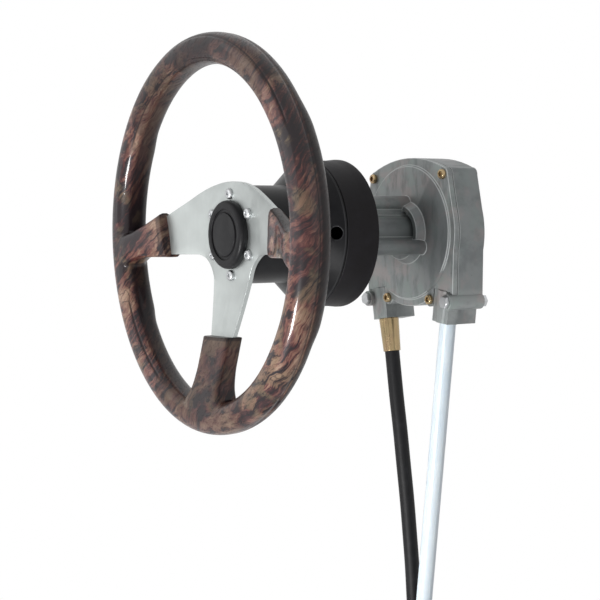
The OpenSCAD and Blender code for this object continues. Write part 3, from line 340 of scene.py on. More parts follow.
@dataclass(frozen=True)
class BurlWood(Finish):
    """Lacquered burl: swirling patches, slanted streaks and fine grain, with dark joint lines along the
    creases and the seam, and painted shade inside, on the rear half, on the sleeves' ends and tops and beside
    the grips.

    The ways run across, along and beside the grain, and scales count features a metre along them.
    A span says where a band starts and ends, and a share how much of it is laid on.
    """

    ring_r: float = 0.15675
    ring_forward: float = 0.1315
    dark: Colour = (0.010, 0.005, 0.007)
    # Colour of the dark joint lines and of the painted shade.
    joint_and_shade_colour: Colour = (0.007, 0.004, 0.005)
    olive: Colour = (0.150, 0.108, 0.066)
    stops: tuple[tuple[float, Colour], ...] = (
        (0.36, (0.010, 0.005, 0.007)),
        (0.44, (0.054, 0.016, 0.016)),
        (0.50, (0.124, 0.047, 0.037)),
        (0.56, (0.165, 0.084, 0.059)),
        (0.66, (0.270, 0.175, 0.123)),
    )
    swirl: Cloud = Cloud(11, 2, 0.5)
    swirl_reach: float = 0.030
    ripple: Cloud = Cloud(60, 3, 0.55)
    ripple_reach: float = 0.010
    ways: tuple[Triple, ...] = ((0.25, 0.77, -0.59), (0.30, 0.55, 0.78), (0.92, -0.30, -0.22))
    patch: Cloud = Cloud(26, 3, 0.55)
    patch_share: float = 0.62
    streak: Cloud = Cloud(1.0, 4, 0.62)
    streak_scales: Triple = (310, 27, 75)
    streak_share: float = 0.78
    streak_span: Span = (0.48, 0.38)
    tone_shift: float = 0.215
    # How much painted shade darkens the rim's sides beside the grips.
    grip_shade_depth: float = 0.100
    grip_side: Span = (0.10, 0.135)
    grip_low: Span = (-0.07, 0.0)
    grip_high: Span = (0.15, 0.09)
    grain: Cloud = Cloud(1.0, 2, 0.55)
    grain_scales: Triple = (1100, 90, 300)
    grain_span: Span = (0.50, 0.68)
    grain_share: float = 0.38
    contour: Cloud = Cloud(30, 2, 0.5)
    contour_span: Span = (0.50, 0.60)
    contour_waves: float = 62.0
    contour_crest: Span = (0.55, 0.95)
    contour_share: float = 0.5
    olive_patch: Cloud = Cloud(38, 3, 0.55)
    olive_span: Span = (0.50, 0.62)
    olive_share: float = 0.55
    roughness: float = 0.36
    grain_rough: float = 0.2
    specular: float = 0.18
    coat: float = 0.42
    coat_loss: float = 0.32
    coat_rough: float = 0.04
    grain_cut: float = 0.5
    contour_cut: float = 0.3
    cut_depth: float = 0.00004
    cut_strength: float = 0.5
    # Where the creases and the seam show as dark joint lines, and where shade is painted: the rear half, the
    # inside, the sleeves' ends and the side sleeves' top faces.
    ring_span: Span = (0.0165, 0.0145)
    crease_span: Span = (0.085, 0.03)
    crease_share: float = 0.85
    seam_span: Span = (0.09, 0.03)
    seam_share: float = 0.6
    rear_span: Span = (0.0, 0.2)
    rear_share: float = 0.85
    inner_span: Span = (-0.95, -1.35)
    inner_share: float = 0.8
    side_end_span: Span = (0.0065, 0.0045)
    side_end_share: float = 0.55
    low_end_span: Span = (-0.0045, -0.0025)
    low_end_side: Span = (0.04, 0.03)
    low_end_share: float = 0.85
    top_span: Span = (0.0006, 0.0013)
    top_reach: Span = (0.1435, 0.1405)
    top_share: float = 0.9

    def paint(self, graph: Graph) -> bpy.types.Material:
        """Colour from slanted noise streaks over broad patches, both bent by two sizes of warping noise.

        Painted shade darkens the tone on the rim's sides beside the two grips.
        The streaks' coordinates are three dot products of the warped place: short across the grain and
        long along it. Thin contour lines are the sine of many times the patch noise.

        Args:
            graph: The graph to fill.

        Returns:
            Its material.
        """
        place = graph.place()
        swirl = graph.shifted(place, graph.noise(place, self.swirl, "Color"), self.swirl_reach)
        warped = graph.shifted(swirl, graph.noise(place, self.ripple, "Color"), self.ripple_reach)
        right, back, up = graph.parts(warped)
        ways = [right * x + back * y + up * z for x, y, z in self.ways]
        laid = lambda scales: graph.joined(*(way * scale for way, scale in zip(ways, scales)))
        patches = graph.noise(warped, self.patch)
        streaks = graph.noise(laid(self.streak_scales), self.streak)
        grain = graph.noise(laid(self.grain_scales), self.grain).band(*self.grain_span)
        crests = (patches * self.contour_waves).math("SINE").band(*self.contour_crest)
        contours = crests * graph.noise(place, self.contour).band(*self.contour_span)
        # Painted shade: the rim's sides beside the grips, from the middle up, get a darker tone.
        grip_shade = right.distance().band(*self.grip_side) * up.band(*self.grip_low) * up.band(*self.grip_high)
        tone = patches * self.patch_share + streaks * self.streak_share - self.tone_shift
        # Dark joint lines and painted shade, laid over everything.
        joints_and_shade = self.joints_and_shade(graph, place)
        colour = graph.layered(
            graph.ramp(tone - grip_shade * self.grip_shade_depth, self.stops),
            (graph.noise(swirl, self.olive_patch).band(*self.olive_span) * self.olive_share, self.olive),
            (streaks.band(*self.streak_span), self.dark),
            (grain * self.grain_share + contours * self.contour_share, self.dark),
            (joints_and_shade, self.joint_and_shade_colour),
        )
        height = grain * -self.grain_cut + contours * -self.contour_cut
        return graph.surface({
            "Base Color": colour,
            "Roughness": self.roughness + grain * self.grain_rough,
            "Specular IOR Level": self.specular,
            # The lacquer is thinned along the joint lines and where shade is painted, which darkens them
            # further.
            "Coat Weight": self.coat - joints_and_shade * self.coat_loss,
            "Coat Roughness": self.coat_rough,
            "Normal": graph.bump(height, self.cut_depth, self.cut_strength),
        })

    def joints_and_shade(self, graph: Graph, place: Value) -> Value:
        """How dark the joint lines along the creases and the seam are, and the painted shade on the rear half,
        the inside and the sleeves' ends and tops.

        The angle around the rim's section is the arc tangent of the distance outside the ring's
        middle circle over the distance in front of it: 0 at the front, a quarter turn at the outside.

        Args:
            graph: The graph to add to.
            place: Object coordinates.

        Returns:
            A factor from 0 to 1.
        """
        right, back, up = graph.parts(place)
        side, left, below = right.distance(), right * -1.0, up * -1.0
        radius = (right * right + up * up) ** 0.5
        outside = radius - self.ring_r
        section = outside.math("ARCTAN2", (back * -1.0) - self.ring_forward)
        near = lambda angle, line, span: (angle - line).distance().band(*span)
        low_left = left.band(*RimForm.left) * below.band(*RimForm.left_from) * below.band(*RimForm.left_to)
        crease = near(section.distance(), RimForm.crease_angle, self.crease_span) * up.band(*RimForm.high)
        crease = crease.most(near(section, -RimForm.crease_angle, self.crease_span) * low_left)
        seam = near(section, RimForm.seam_angle, self.seam_span)
        rear = section.band(*moved(self.rear_span, RimForm.seam_angle))
        inner = section.band(*self.inner_span)
        # The creases and the seam are dark joint lines; the rear half and the inside get painted shade.
        ring = (crease * self.crease_share).most(
            seam * self.seam_share, rear * self.rear_share, inner * self.inner_share
        )
        # Painted shade on the sleeves' inner ends and on the side sleeves' top faces.
        side_end = (side - up * RimForm.end_shear).band(*moved(self.side_end_span, RimForm.sleeve_end))
        low_end = up.band(*moved(self.low_end_span, RimForm.low_sleeve_end)) * side.band(*self.low_end_side)
        top = (up + side * RimForm.spoke_slope).band(*moved(self.top_span, RimForm.spoke_edge))
        ends = (side_end * self.side_end_share).most(
            low_end * self.low_end_share, top * radius.band(*self.top_reach) * self.top_share
        )
        return (ring * outside.distance().band(*self.ring_span)).most(ends)


@dataclass(frozen=True)
class WorkedMetal(Finish):
    """Metal with fine tool marks, counted a metre along each axis, and faint cloudiness."""

    colour: Colour
    roughness: float
    marks: Triple
    mark_depth: float = 0.000015
    cloudy: float = 0.08
    darker_by: float = 2.2
    cloud: Cloud = Cloud(55, 4, 0.6)
    cloud_span: Span = (0.25, 0.75)
    cloud_rough: float = 0.18
    mark_span: Span = (0.35, 0.7)
    mark_share: float = 0.12
    mark_rough: float = 0.12
    mark_strength: float = 0.6

    def paint(self, graph: Graph) -> bpy.types.Material:
        """Stretched noise gives the tool marks; broad noise shifts colour and gloss.

        Args:
            graph: The graph to fill.

        Returns:
            Its material.
        """
        place = graph.place()
        marks = graph.noise(place, Cloud(1.0, 2, 0.6, self.marks))
        cloud = graph.noise(place, self.cloud)
        darker = tuple(channel * (1 - self.darker_by * self.cloudy) for channel in self.colour)
        lighter = tuple(min(1.0, channel * (1 + self.cloudy)) for channel in self.colour)
        lighter_share = cloud.band(*self.cloud_span)
        mark_share = marks.band(*self.mark_span) * self.mark_share
        return graph.surface({
            "Base Color": graph.layered(darker, (lighter_share, lighter), (mark_share, darker)),
            "Metallic": 1.0,
            "Roughness": self.roughness + cloud.swing(self.cloud_rough) + marks.swing(self.mark_rough),
            "Normal": graph.bump(marks, self.mark_depth, self.mark_strength),
        })


@dataclass(frozen=True)
class RawCasting(Finish):
    """Raw die-cast alloy: grey with rose and green blotches, flow streaks, pits, a darker housing, a sector of
    painted shade on the cover's front face, and painted highlights on the rounded edges.
    """

    colour: Colour = (0.275, 0.292, 0.290)
    rose: Colour = (0.338, 0.304, 0.298)
    moss: Colour = (0.268, 0.310, 0.296)
    # Besides the flow streaks and pits, the dull colour is laid on as painted shade on the front face's
    # right-hand sector.
    dull: Colour = (0.120, 0.132, 0.138)
    # Painted highlight on the rounded edges.
    pale: Colour = (0.520, 0.545, 0.545)
    metallic: float = 0.35
    roughness: float = 0.44
    rose_patch: Cloud = Cloud(42, 5, 0.62)
    moss_patch: Cloud = Cloud(50, 5, 0.62, (1, 1, 1), (0.7, 0.2, 1.1))
    patch_span: Span = (0.48, 0.62)
    rose_share: float = 0.8
    moss_share: float = 0.75
    streak: Cloud = Cloud(1.0, 4, 0.6, (120, 30, 36), (0.0, 0.25, 0.0))
    streak_span: Span = (0.46, 0.70)
    streak_share: float = 0.55
    streak_rough: float = 0.25
    grain: Cloud = Cloud(1500, 2, 0.6)
    grain_rough: float = 0.1
    grain_rise: float = 0.6
    pit: Cloud = Cloud(420, 2, 0.5)
    pit_span: Span = (0.66, 0.76)
    pit_share: float = 0.4
    pit_sink: float = 0.8
    relief: float = 0.00006
    relief_strength: float = 0.5
    edge_share: float = 0.45
    edge_grain: float = 0.4
    face_share: float = 0.55
    # Where the painted shade lies on the front face.
    face_back: Span = (0.096, 0.092)
    face_r: Span = (0.064, 0.060)
    sector_top: Span = (0.98, 0.90)
    sector_low: Span = (-1.25, -0.55)
    housing_share: float = 0.2
    housing_streak: float = 0.5
    housing_back: Span = (0.0855, 0.0880)
    housing_up: Span = (-0.056, -0.050)

    def paint(self, graph: Graph) -> bpy.types.Material:
        """Two tints over the grey, dull flow streaks, pits and grain as bump, a darker housing, painted shade
        on a sector of the front face, and painted highlights on the rounded edges.

        Args:
            graph: The graph to fill.

        Returns:
            Its material.
        """
        place = graph.place()
        rose, moss = (
            graph.noise(place, cloud).band(*self.patch_span) for cloud in (self.rose_patch, self.moss_patch)
        )
        streak = graph.noise(place, self.streak)
        grain = graph.noise(place, self.grain)
        pits = graph.noise(place, self.pit).band(*self.pit_span)
        colour = graph.layered(
            self.colour,
            (rose * self.rose_share, self.rose),
            (moss * self.moss_share, self.moss),
            (streak.band(*self.streak_span) * self.streak_share, self.dull),
            # Painted shade on the right-hand sector of the front face.
            (self.face_shade_sector(graph, place) * self.face_share, self.dull),
            # A darker, streaky tone on the upper housing behind the gasket.
            (self.darker_housing(graph, place) * (self.housing_share + streak * self.housing_streak), self.dull),
            (pits * self.pit_share, self.dull),
            # Painted highlight on the rounded edges.
            (graph.edge() * (self.edge_share + grain * self.edge_grain), self.pale),
        )
        height = grain * self.grain_rise + pits * -self.pit_sink
        return graph.surface({
            "Base Color": colour,
            "Metallic": self.metallic,
            "Roughness": self.roughness + streak.swing(self.streak_rough) + grain.swing(self.grain_rough),
            "Normal": graph.bump(height, self.relief, self.relief_strength),
        })

    def darker_housing(self, graph: Graph, place: Value) -> Value:
        """A darker tone on the housing behind the gasket, down to the clamps."""
        _, back, up = graph.parts(place)
        return back.band(*self.housing_back) * up.band(*self.housing_up)

    def face_shade_sector(self, graph: Graph, place: Value) -> Value:
        """Painted shade: a darker sector on the right of the cover's front face, which fades towards the lower
        edge.

        Args:
            graph: The graph to add to.
            place: Object coordinates.

        Returns:
            A factor from 0 to 1.
        """
        right, back, up = graph.parts(place)
        angle = up.math("ARCTAN2", right)
        radius = (right * right + up * up).math("SQRT")
        sector = angle.band(*self.sector_top) * angle.band(*self.sector_low)
        return sector * (back.band(*self.face_back) * radius.band(*self.face_r))


@dataclass(frozen=True)
class MouldedBlack(Finish):
    """Moulded plastic or rubber, dark, with a fine spark-eroded grain, dusty variation and a painted highlight
    on the rounded edges.
    """

    colour: Colour
    dusty: Colour
    # Painted highlight on the rounded edges.
    edge_sheen: Colour = (0.045, 0.046, 0.049)
    roughness: float = 0.45
    grain_scale: float = 1100.0
    grain_depth: float = 0.00004
    specular: float = 0.4
    dust: Cloud = Cloud(60, 4, 0.6)
    dust_span: Span = (0.35, 0.75)
    dust_rough: float = 0.2
    grain_rough: float = 0.15
    grain_strength: float = 0.45
    edge_sheen_share: float = 0.5

    def paint(self, graph: Graph) -> bpy.types.Material:
        """Dust follows broad noise; the grain is fine noise used as bump and roughness; the rounded edges get
        a painted highlight.

        Args:
            graph: The graph to fill.

        Returns:
            Its material.
        """
        place = graph.place()
        dust = graph.noise(place, self.dust)
        grain = graph.noise(place, Cloud(self.grain_scale, 2, 0.6))
        # The rounded edges get a painted highlight.
        layers = (dust.band(*self.dust_span), self.dusty), (graph.edge() * self.edge_sheen_share, self.edge_sheen)
        return graph.surface({
            "Base Color": graph.layered(self.colour, *layers),
            "Roughness": self.roughness + dust.swing(self.dust_rough) + grain.swing(self.grain_rough),
            "Specular IOR Level": self.specular,
            "Normal": graph.bump(grain, self.grain_depth, self.grain_strength),
        })


@dataclass(frozen=True)
class YellowZinc(Finish):
    """Yellow passivated zinc: gold with olive and rose bloom."""

    gold: Colour = (0.38, 0.285, 0.155)
    olive: Colour = (0.25, 0.205, 0.12)
    rose: Colour = (0.34, 0.225, 0.14)
    metallic: float = 0.9
    roughness: float = 0.27
    olive_bloom: Cloud = Cloud(90, 2, 0.5)
    olive_span: Span = (0.42, 0.74)
    olive_share: float = 0.45
    rose_bloom: Cloud = Cloud(110, 2, 0.5, (1, 1, 0.4), (0.3, 0.9, 0.1))
    rose_span: Span = (0.44, 0.76)
    rose_share: float = 0.6
    drawn: Cloud = Cloud(1.0, 1, 0.4, (210, 210, 14))
    drawn_rough: float = 0.06
    drawn_depth: float = 0.000003
    drawn_strength: float = 0.12

    def paint(self, graph: Graph) -> bpy.types.Material:
        """Two blooms from broad noise, and drawn marks along the piece.

        Args:
            graph: The graph to fill.

        Returns:
            Its material.
        """
        place = graph.place()
        drawn = graph.noise(place, self.drawn)
        colour = graph.layered(
            self.gold,
            (graph.noise(place, self.olive_bloom).band(*self.olive_span) * self.olive_share, self.olive),
            (graph.noise(place, self.rose_bloom).band(*self.rose_span) * self.rose_share, self.rose),
        )
        return graph.surface({
            "Base Color": colour,
            "Metallic": self.metallic,
            "Roughness": self.roughness + drawn.swing(self.drawn_rough),
            "Normal": graph.bump(drawn, self.drawn_depth, self.drawn_strength),
        })


@dataclass(frozen=True)
class CableJacket(Finish):
    """Extruded black jacket with faint die lines along the cable's own UV map."""

    colour: Colour = (0.006, 0.006, 0.007)
    worn: Colour = (0.014, 0.014, 0.016)
    scuff: Cloud = Cloud(90, 4, 0.6)
    scuff_span: Span = (0.45, 0.8)
    roughness: float = 0.52
    specular: float = 0.22
    lines: Cloud = Cloud(1.0, 2, 0.5, (6.0, 90.0, 1.0))
    line_rough: float = 0.2
    line_depth: float = 0.00005
    line_strength: float = 0.4

    def paint(self, graph: Graph) -> bpy.types.Material:
        """Die lines run along the cable; scuffs follow broad noise.

        Args:
            graph: The graph to fill.

        Returns:
            Its material.
        """
        lines = graph.noise(graph.add("ShaderNodeTexCoord", output="UV"), self.lines)
        scuff = graph.noise(graph.place(), self.scuff)
        return graph.surface({
            "Base Color": graph.mix(scuff.band(*self.scuff_span), self.colour, self.worn),
            "Roughness": self.roughness + lines.swing(self.line_rough),
            "Specular IOR Level": self.specular,
            "Normal": graph.bump(lines, self.line_depth, self.line_strength),
        })


@dataclass(frozen=True)
class MilkyPlastic(Finish):
    """Milky extruded plastic, cool and slightly cloudy."""

    colour: Colour = (0.72, 0.79, 0.84)
    cool: Colour = (0.62, 0.71, 0.78)
    cloud: Cloud = Cloud(60, 4, 0.6, (1, 1, 0.3))
    cloud_span: Span = (0.35, 0.7)
    cloud_rough: float = 0.2
    roughness: float = 0.30
    scatter: float = 0.25
    scatter_radius: Triple = (0.003, 0.0035, 0.004)
    drawn: Cloud = Cloud(1.0, 2, 0.5, (500, 500, 14))
    drawn_depth: float = 0.00003
    drawn_strength: float = 0.4

    def paint(self, graph: Graph) -> bpy.types.Material:
        """Clouds along the tube shift the tint and the gloss; the light scatters a little inside.

        Args:
            graph: The graph to fill.

        Returns:
            Its material.
        """
        place = graph.place()
        cloud = graph.noise(place, self.cloud)
        return graph.surface({
            "Base Color": graph.mix(cloud.band(*self.cloud_span), self.colour, self.cool),
            "Roughness": self.roughness + cloud.swing(self.cloud_rough),
            "Subsurface Weight": self.scatter,
            "Subsurface Radius": self.scatter_radius,
            "Subsurface Scale": 1.0,
            "Normal": graph.bump(graph.noise(place, self.drawn), self.drawn_depth, self.drawn_strength),
        })


class Slot(Enum):
    """The record's material slots with their finishes."""

    WOOD = ("wood", BurlWood("burl_wood"))
    PLATE = ("satin_aluminium", WorkedMetal(
        "satin_plate", (0.475, 0.503, 0.495),
        roughness=0.42, marks=(500, 30, 30), mark_depth=0.00001, cloudy=0.035,
    ))
    BRIGHT = ("bright_steel", WorkedMetal(
        "bright_zinc", (0.52, 0.53, 0.54),
        roughness=0.42, marks=(300, 300, 300), mark_depth=0.00001, cloudy=0.10,
    ))
    CAP = ("cap_black", MouldedBlack(
        "cap_plastic", (0.009, 0.009, 0.010), (0.017, 0.017, 0.018),
        roughness=0.38, grain_scale=900.0, specular=0.13,
    ))
    HUB = ("hub_black", MouldedBlack(
        "hub_plastic", (0.004, 0.004, 0.005), (0.008, 0.008, 0.009), roughness=0.38, specular=0.19
    ))
    # The bezel's edge colour is a painted highlight on its rounded edges.
    BEZEL = ("bezel_black", MouldedBlack(
        "bezel_plastic", (0.006, 0.005, 0.006), (0.010, 0.009, 0.011), edge_sheen=(0.022, 0.022, 0.024),
        roughness=0.52, grain_scale=800.0, grain_depth=0.00007, specular=0.14,
    ))
    STEEL = ("machined_steel", WorkedMetal(
        "turned_steel", (0.52, 0.52, 0.54), roughness=0.32, marks=(60, 1500, 60)
    ))
    CASTING = ("cast_grey", RawCasting("raw_casting"))
    RUBBER = ("gasket_rubber", MouldedBlack(
        "sealing_rubber", (0.150, 0.160, 0.158), (0.200, 0.210, 0.206), roughness=0.62
    ))
    ZINC = ("yellow_zinc", YellowZinc("passivated_zinc"))
    BRONZE = ("bronze", WorkedMetal(
        "sintered_bronze", (0.48, 0.33, 0.17),
        roughness=0.44, marks=(700, 700, 700), mark_depth=0.00003, cloudy=0.12,
    ))
    JACKET = ("cable_black", CableJacket("cable_jacket"))
    TRIM = ("trim_black", MouldedBlack(
        "trim_plastic", (0.014, 0.014, 0.015), (0.024, 0.024, 0.025), roughness=0.40
    ))
    MILKY = ("milky_plastic", MilkyPlastic("milky_tube"))

    @property
    def label(self) -> str:
        """The slot's name in the record."""
        return self.value[0]

    @property
    def finish(self) -> Finish:
        """The slot's finish."""
        return self.value[1]


# Surfaces


@dataclass
class Shell:
    """A closed surface: points in the frame's metres with four- and three-sided faces."""

    points: np.ndarray
    quads: np.ndarray
    tris: np.ndarray

    @classmethod
    def from_grid(cls, grid: np.ndarray, ring: bool = False) -> "Shell":
        """Closes a grid of points whose columns run round.

        Args:
            grid: Points as (rows, columns, 3).
            ring: Whether the last row joins the first; otherwise a fan to the row's middle closes each end.

        Returns:
            The shell, turned so that its faces point outwards.
        """
        rows, columns = grid.shape[:2]
        index = np.arange(rows * columns).reshape(rows, columns)
        if ring:
            index = np.vstack([index, index[:1]])
        here = index
        beside = np.roll(index, -1, axis=1)
        quads = np.stack([here[:-1], beside[:-1], beside[1:], here[1:]], axis=-1).reshape(-1, 4)
        points = grid.reshape(-1, 3)
        tris = np.empty((0, 3), dtype=int)
        if not ring:
            centres = grid[[0, -1]].mean(axis=1)
            first, last = len(points), len(points) + 1
            points = np.vstack([points, centres])
            low = np.stack([np.full(columns, first), beside[0], here[0]], axis=-1)
            high = np.stack([np.full(columns, last), here[-1], beside[-1]], axis=-1)
            tris = np.vstack([low, high])
        return cls(points, quads, tris).outward()

    def outward(self) -> "Shell":
        """Turns the faces round where the signed volume is negative.

        Returns:
            The shell itself.
        """
        corners = np.vstack([self.quads[:, [0, 1, 2]], self.quads[:, [0, 2, 3]], self.tris])
        first, second, third = (self.points[corners[:, i]] for i in range(3))
        if np.einsum("ij,ij->", first, np.cross(second, third)) < 0:
            self.quads = self.quads[:, ::-1]
            self.tris = self.tris[:, ::-1]
        return self

    @staticmethod
    def joined(shells: Sequence["Shell"]) -> "Shell":
        """Puts several shells into one.

        Args:
            shells: The shells to join.

        Returns:
            One shell with all their faces.
        """
        starts = np.cumsum([0] + [len(shell.points) for shell in shells])
        return Shell(
            np.vstack([shell.points for shell in shells]),
            np.vstack([shell.quads + start for shell, start in zip(shells, starts)]),
            np.vstack([shell.tris + start for shell, start in zip(shells, starts)]),
        )

    def to_mesh(self, name: str) -> bpy.types.Mesh:
        """Makes the Blender mesh.

        Args:
            name: The mesh's name.

        Returns:
            The mesh.
        """
        mesh = bpy.data.meshes.new(name)
        mesh.from_pydata(self.points, [], self.quads.tolist() + self.tris.tolist())
        mesh.update()
        return mesh


def to_frame(plane: np.ndarray) -> np.ndarray:
    """Turns (right, up, forward of the dash) in millimetres into the frame: x right, y back, z up."""
    return np.stack([plane[..., 0], -plane[..., 2], plane[..., 1]], axis=-1) * MM


def smooth(value: np.ndarray, span: Span) -> np.ndarray:
    """Rises from 0 to 1 over the span as 3t squared less 2t cubed; over a span that runs down it falls."""
    share = np.clip((value - span[0]) / (span[1] - span[0]), 0, 1)
    return share * share * (3 - 2 * share)


def signed_power(wave: np.ndarray, power: float) -> np.ndarray:
    """A wave's size to a power, with the wave's own sign."""
    return np.sign(wave) * np.abs(wave) ** power


def rounded(
    profile: Sequence[Sequence[float]], radius: float, steps: int = 4, most: float = 0.48
) -> np.ndarray:
    """Rounds the corners of a closed profile.

    Each corner becomes a quadratic curve between points on its two edges, set back by the radius
    or by the largest share of the edge where that is less.

    Args:
        profile: Corners as (radius, forward).
        radius: Set-back from each corner.
        steps: Pieces of each curve.
        most: Largest share of an edge that a corner takes.

    Returns:
        The rounded profile.
    """
    corner = np.asarray(profile, dtype=float)
    before = np.roll(corner, 1, axis=0) - corner
    after = np.roll(corner, -1, axis=0) - corner
    set_back = lambda edge: edge * np.minimum(radius / np.linalg.norm(edge, axis=1), most)[:, None]
    start = (corner + set_back(before))[:, None]
    end = (corner + set_back(after))[:, None]
    share = np.linspace(0, 1, steps + 1)[None, :, None]
    curve = (1 - share) ** 2 * start + 2 * share * (1 - share) * corner[:, None] + share**2 * end
    return curve.reshape(-1, 2)


def lathe(profile: np.ndarray, steps: int) -> Shell:
    """Carries a closed profile of (radius, forward) round the shaft's axis.

    Args:
        profile: Corners in millimetres, in order.
        steps: Points round the axis.

    Returns:
        The closed ring.
    """
    angle = np.linspace(0, TURN, steps, endpoint=False)[None, :]
    radius, forward = profile[:, :1], profile[:, 1:]
    plane = np.stack([radius * np.cos(angle), radius * np.sin(angle), forward + 0 * angle], axis=-1)
    return Shell.from_grid(to_frame(plane), ring=True)


class Cut(Enum):
    """The outline of a turned row, as its radius at an angle over its size."""

    ROUND = "round"
    HEXAGON = "hexagon"
    SIX_LOBE = "six_lobe"

    def spread(self, angle: np.ndarray, lobe: float = 0.16) -> np.ndarray:
        """A hexagon is its half flats over the cosine from the nearest flat; lobes follow a cosine.

        Args:
            angle: Angles round the outline.
            lobe: Height of a lobe over the radius.

        Returns:
            The radius over the size at each angle.
        """
        if self is Cut.HEXAGON:
            return 1 / np.cos((angle + SIXTH / 2) % SIXTH - SIXTH / 2)
        if self is Cut.SIX_LOBE:
            return 1 + lobe * np.cos(6 * angle)
        return np.ones_like(angle)


@dataclass(frozen=True)
class Row:
    """One level of a turned piece, in millimetres; a hexagon's radius is its half flats."""

    radius: float
    level: float
    cut: Cut = Cut.ROUND


def turned(rows: Sequence[Row], centre: tuple[float, float], turn: float = 0.0, steps: int = 72) -> Shell:
    """Stacks outlines along the shaft's direction.

    Args:
        rows: Levels from the rear end to the front end.
        centre: Middle (right, up) in millimetres.
        turn: Angle by which the outlines are turned.
        steps: Points round each outline.

    Returns:
        The closed shell.
    """
    angle = np.linspace(0, TURN, steps, endpoint=False)
    radius = np.stack([row.radius * row.cut.spread(angle) for row in rows])
    level = np.array([[row.level] for row in rows]) + 0 * angle
    plane = np.stack([
        centre[0] + radius * np.cos(angle + turn),
        centre[1] + radius * np.sin(angle + turn),
        level,
    ], axis=-1)
    return Shell.from_grid(to_frame(plane))


def dome(low: Row, high: Row, steps: int) -> list[Row]:
    """Rows on a quarter ellipse from the wide low row to the narrow high row.

    Args:
        low: The wide row.
        high: The narrow row.
        steps: Pieces of the quarter.

    Returns:
        The rows from low to high.
    """
    wide, tall = low.radius - high.radius, high.level - low.level
    angles = np.linspace(0, TURN / 4, steps + 1)
    return [Row(high.radius + wide * math.cos(a), low.level + tall * math.sin(a)) for a in angles]


def shank(radius: float, end: float, face: float, chamfer: Span = (0.4, 0.5)) -> list[Row]:
    """A screw's shank from its chamfered end to the face that its head rests on."""
    return [Row(radius - chamfer[0], end), Row(radius, end + chamfer[1]), Row(radius, face)]


def read(items: bpy.types.bpy_prop_collection, name: str, kind: type, width: int = 1) -> np.ndarray:
    """Reads one property of all items of a mesh, as rows where each item has several numbers.

    Args:
        items: Vertices, edges, faces, corners or attribute values.
        name: The property.
        kind: The numbers' type.
        width: Numbers for each item.

    Returns:
        The values.
    """
    values = np.empty(len(items) * width, dtype=kind)
    items.foreach_get(name, values)
    return values.reshape(-1, width) if width > 1 else values


def shade_smooth(mesh: bpy.types.Mesh, sharp: float) -> None:
    """Shades a mesh smooth, apart from edges whose angle in degrees is above the sharp one."""
    mesh.polygons.foreach_set("use_smooth", np.ones(len(mesh.polygons), dtype=bool))
    mesh.set_sharp_from_angle(angle=math.radians(sharp))


def modified(mesh: bpy.types.Mesh, name: str, kind: str, settings: Mapping[str, object]) -> bpy.types.Mesh:
    """Makes the mesh that one modifier turns another into.

    Args:
        mesh: The mesh to start from.
        name: Name of the new mesh.
        kind: The modifier's type.
        settings: The modifier's properties.

    Returns:
        The new mesh.
    """
    block = bpy.data.objects.new(f"{name}_block", mesh)
    bpy.context.scene.collection.objects.link(block)
    modifier = block.modifiers.new(kind.lower(), kind)
    for key, setting in settings.items():
        setattr(modifier, key, setting)
    made = bpy.data.meshes.new_from_object(block.evaluated_get(bpy.context.evaluated_depsgraph_get()))
    made.name = name
    bpy.data.objects.remove(block)
    return made


def place_piece(
    mesh: bpy.types.Mesh, body: str, slot: Slot, replaced: Sequence[str], sharp: float | None = 34.0
) -> bpy.types.Object:
    """Links a finished mesh as a piece of the part.

    Args:
        mesh: Mesh in the frame's metres; its name becomes the piece's name.
        body: Body that it rides on.
        slot: Material slot.
        replaced: CAD nodes that it stands for.
        sharp: Angle in degrees above which an edge stays sharp; None keeps the mesh's own shading.

    Returns:
        The piece.
    """
    piece = bpy.data.objects.new(mesh.name, mesh)
    bpy.context.scene.collection.objects.link(piece)
    mesh.materials.clear()
    mesh.materials.append(slot.finish.material())
    if sharp is not None:
        shade_smooth(mesh, sharp)
    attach(piece, body)
    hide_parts(*replaced)
    LOG.info("piece %s on %s: %d faces", piece.name, body, len(mesh.polygons))
    return piece


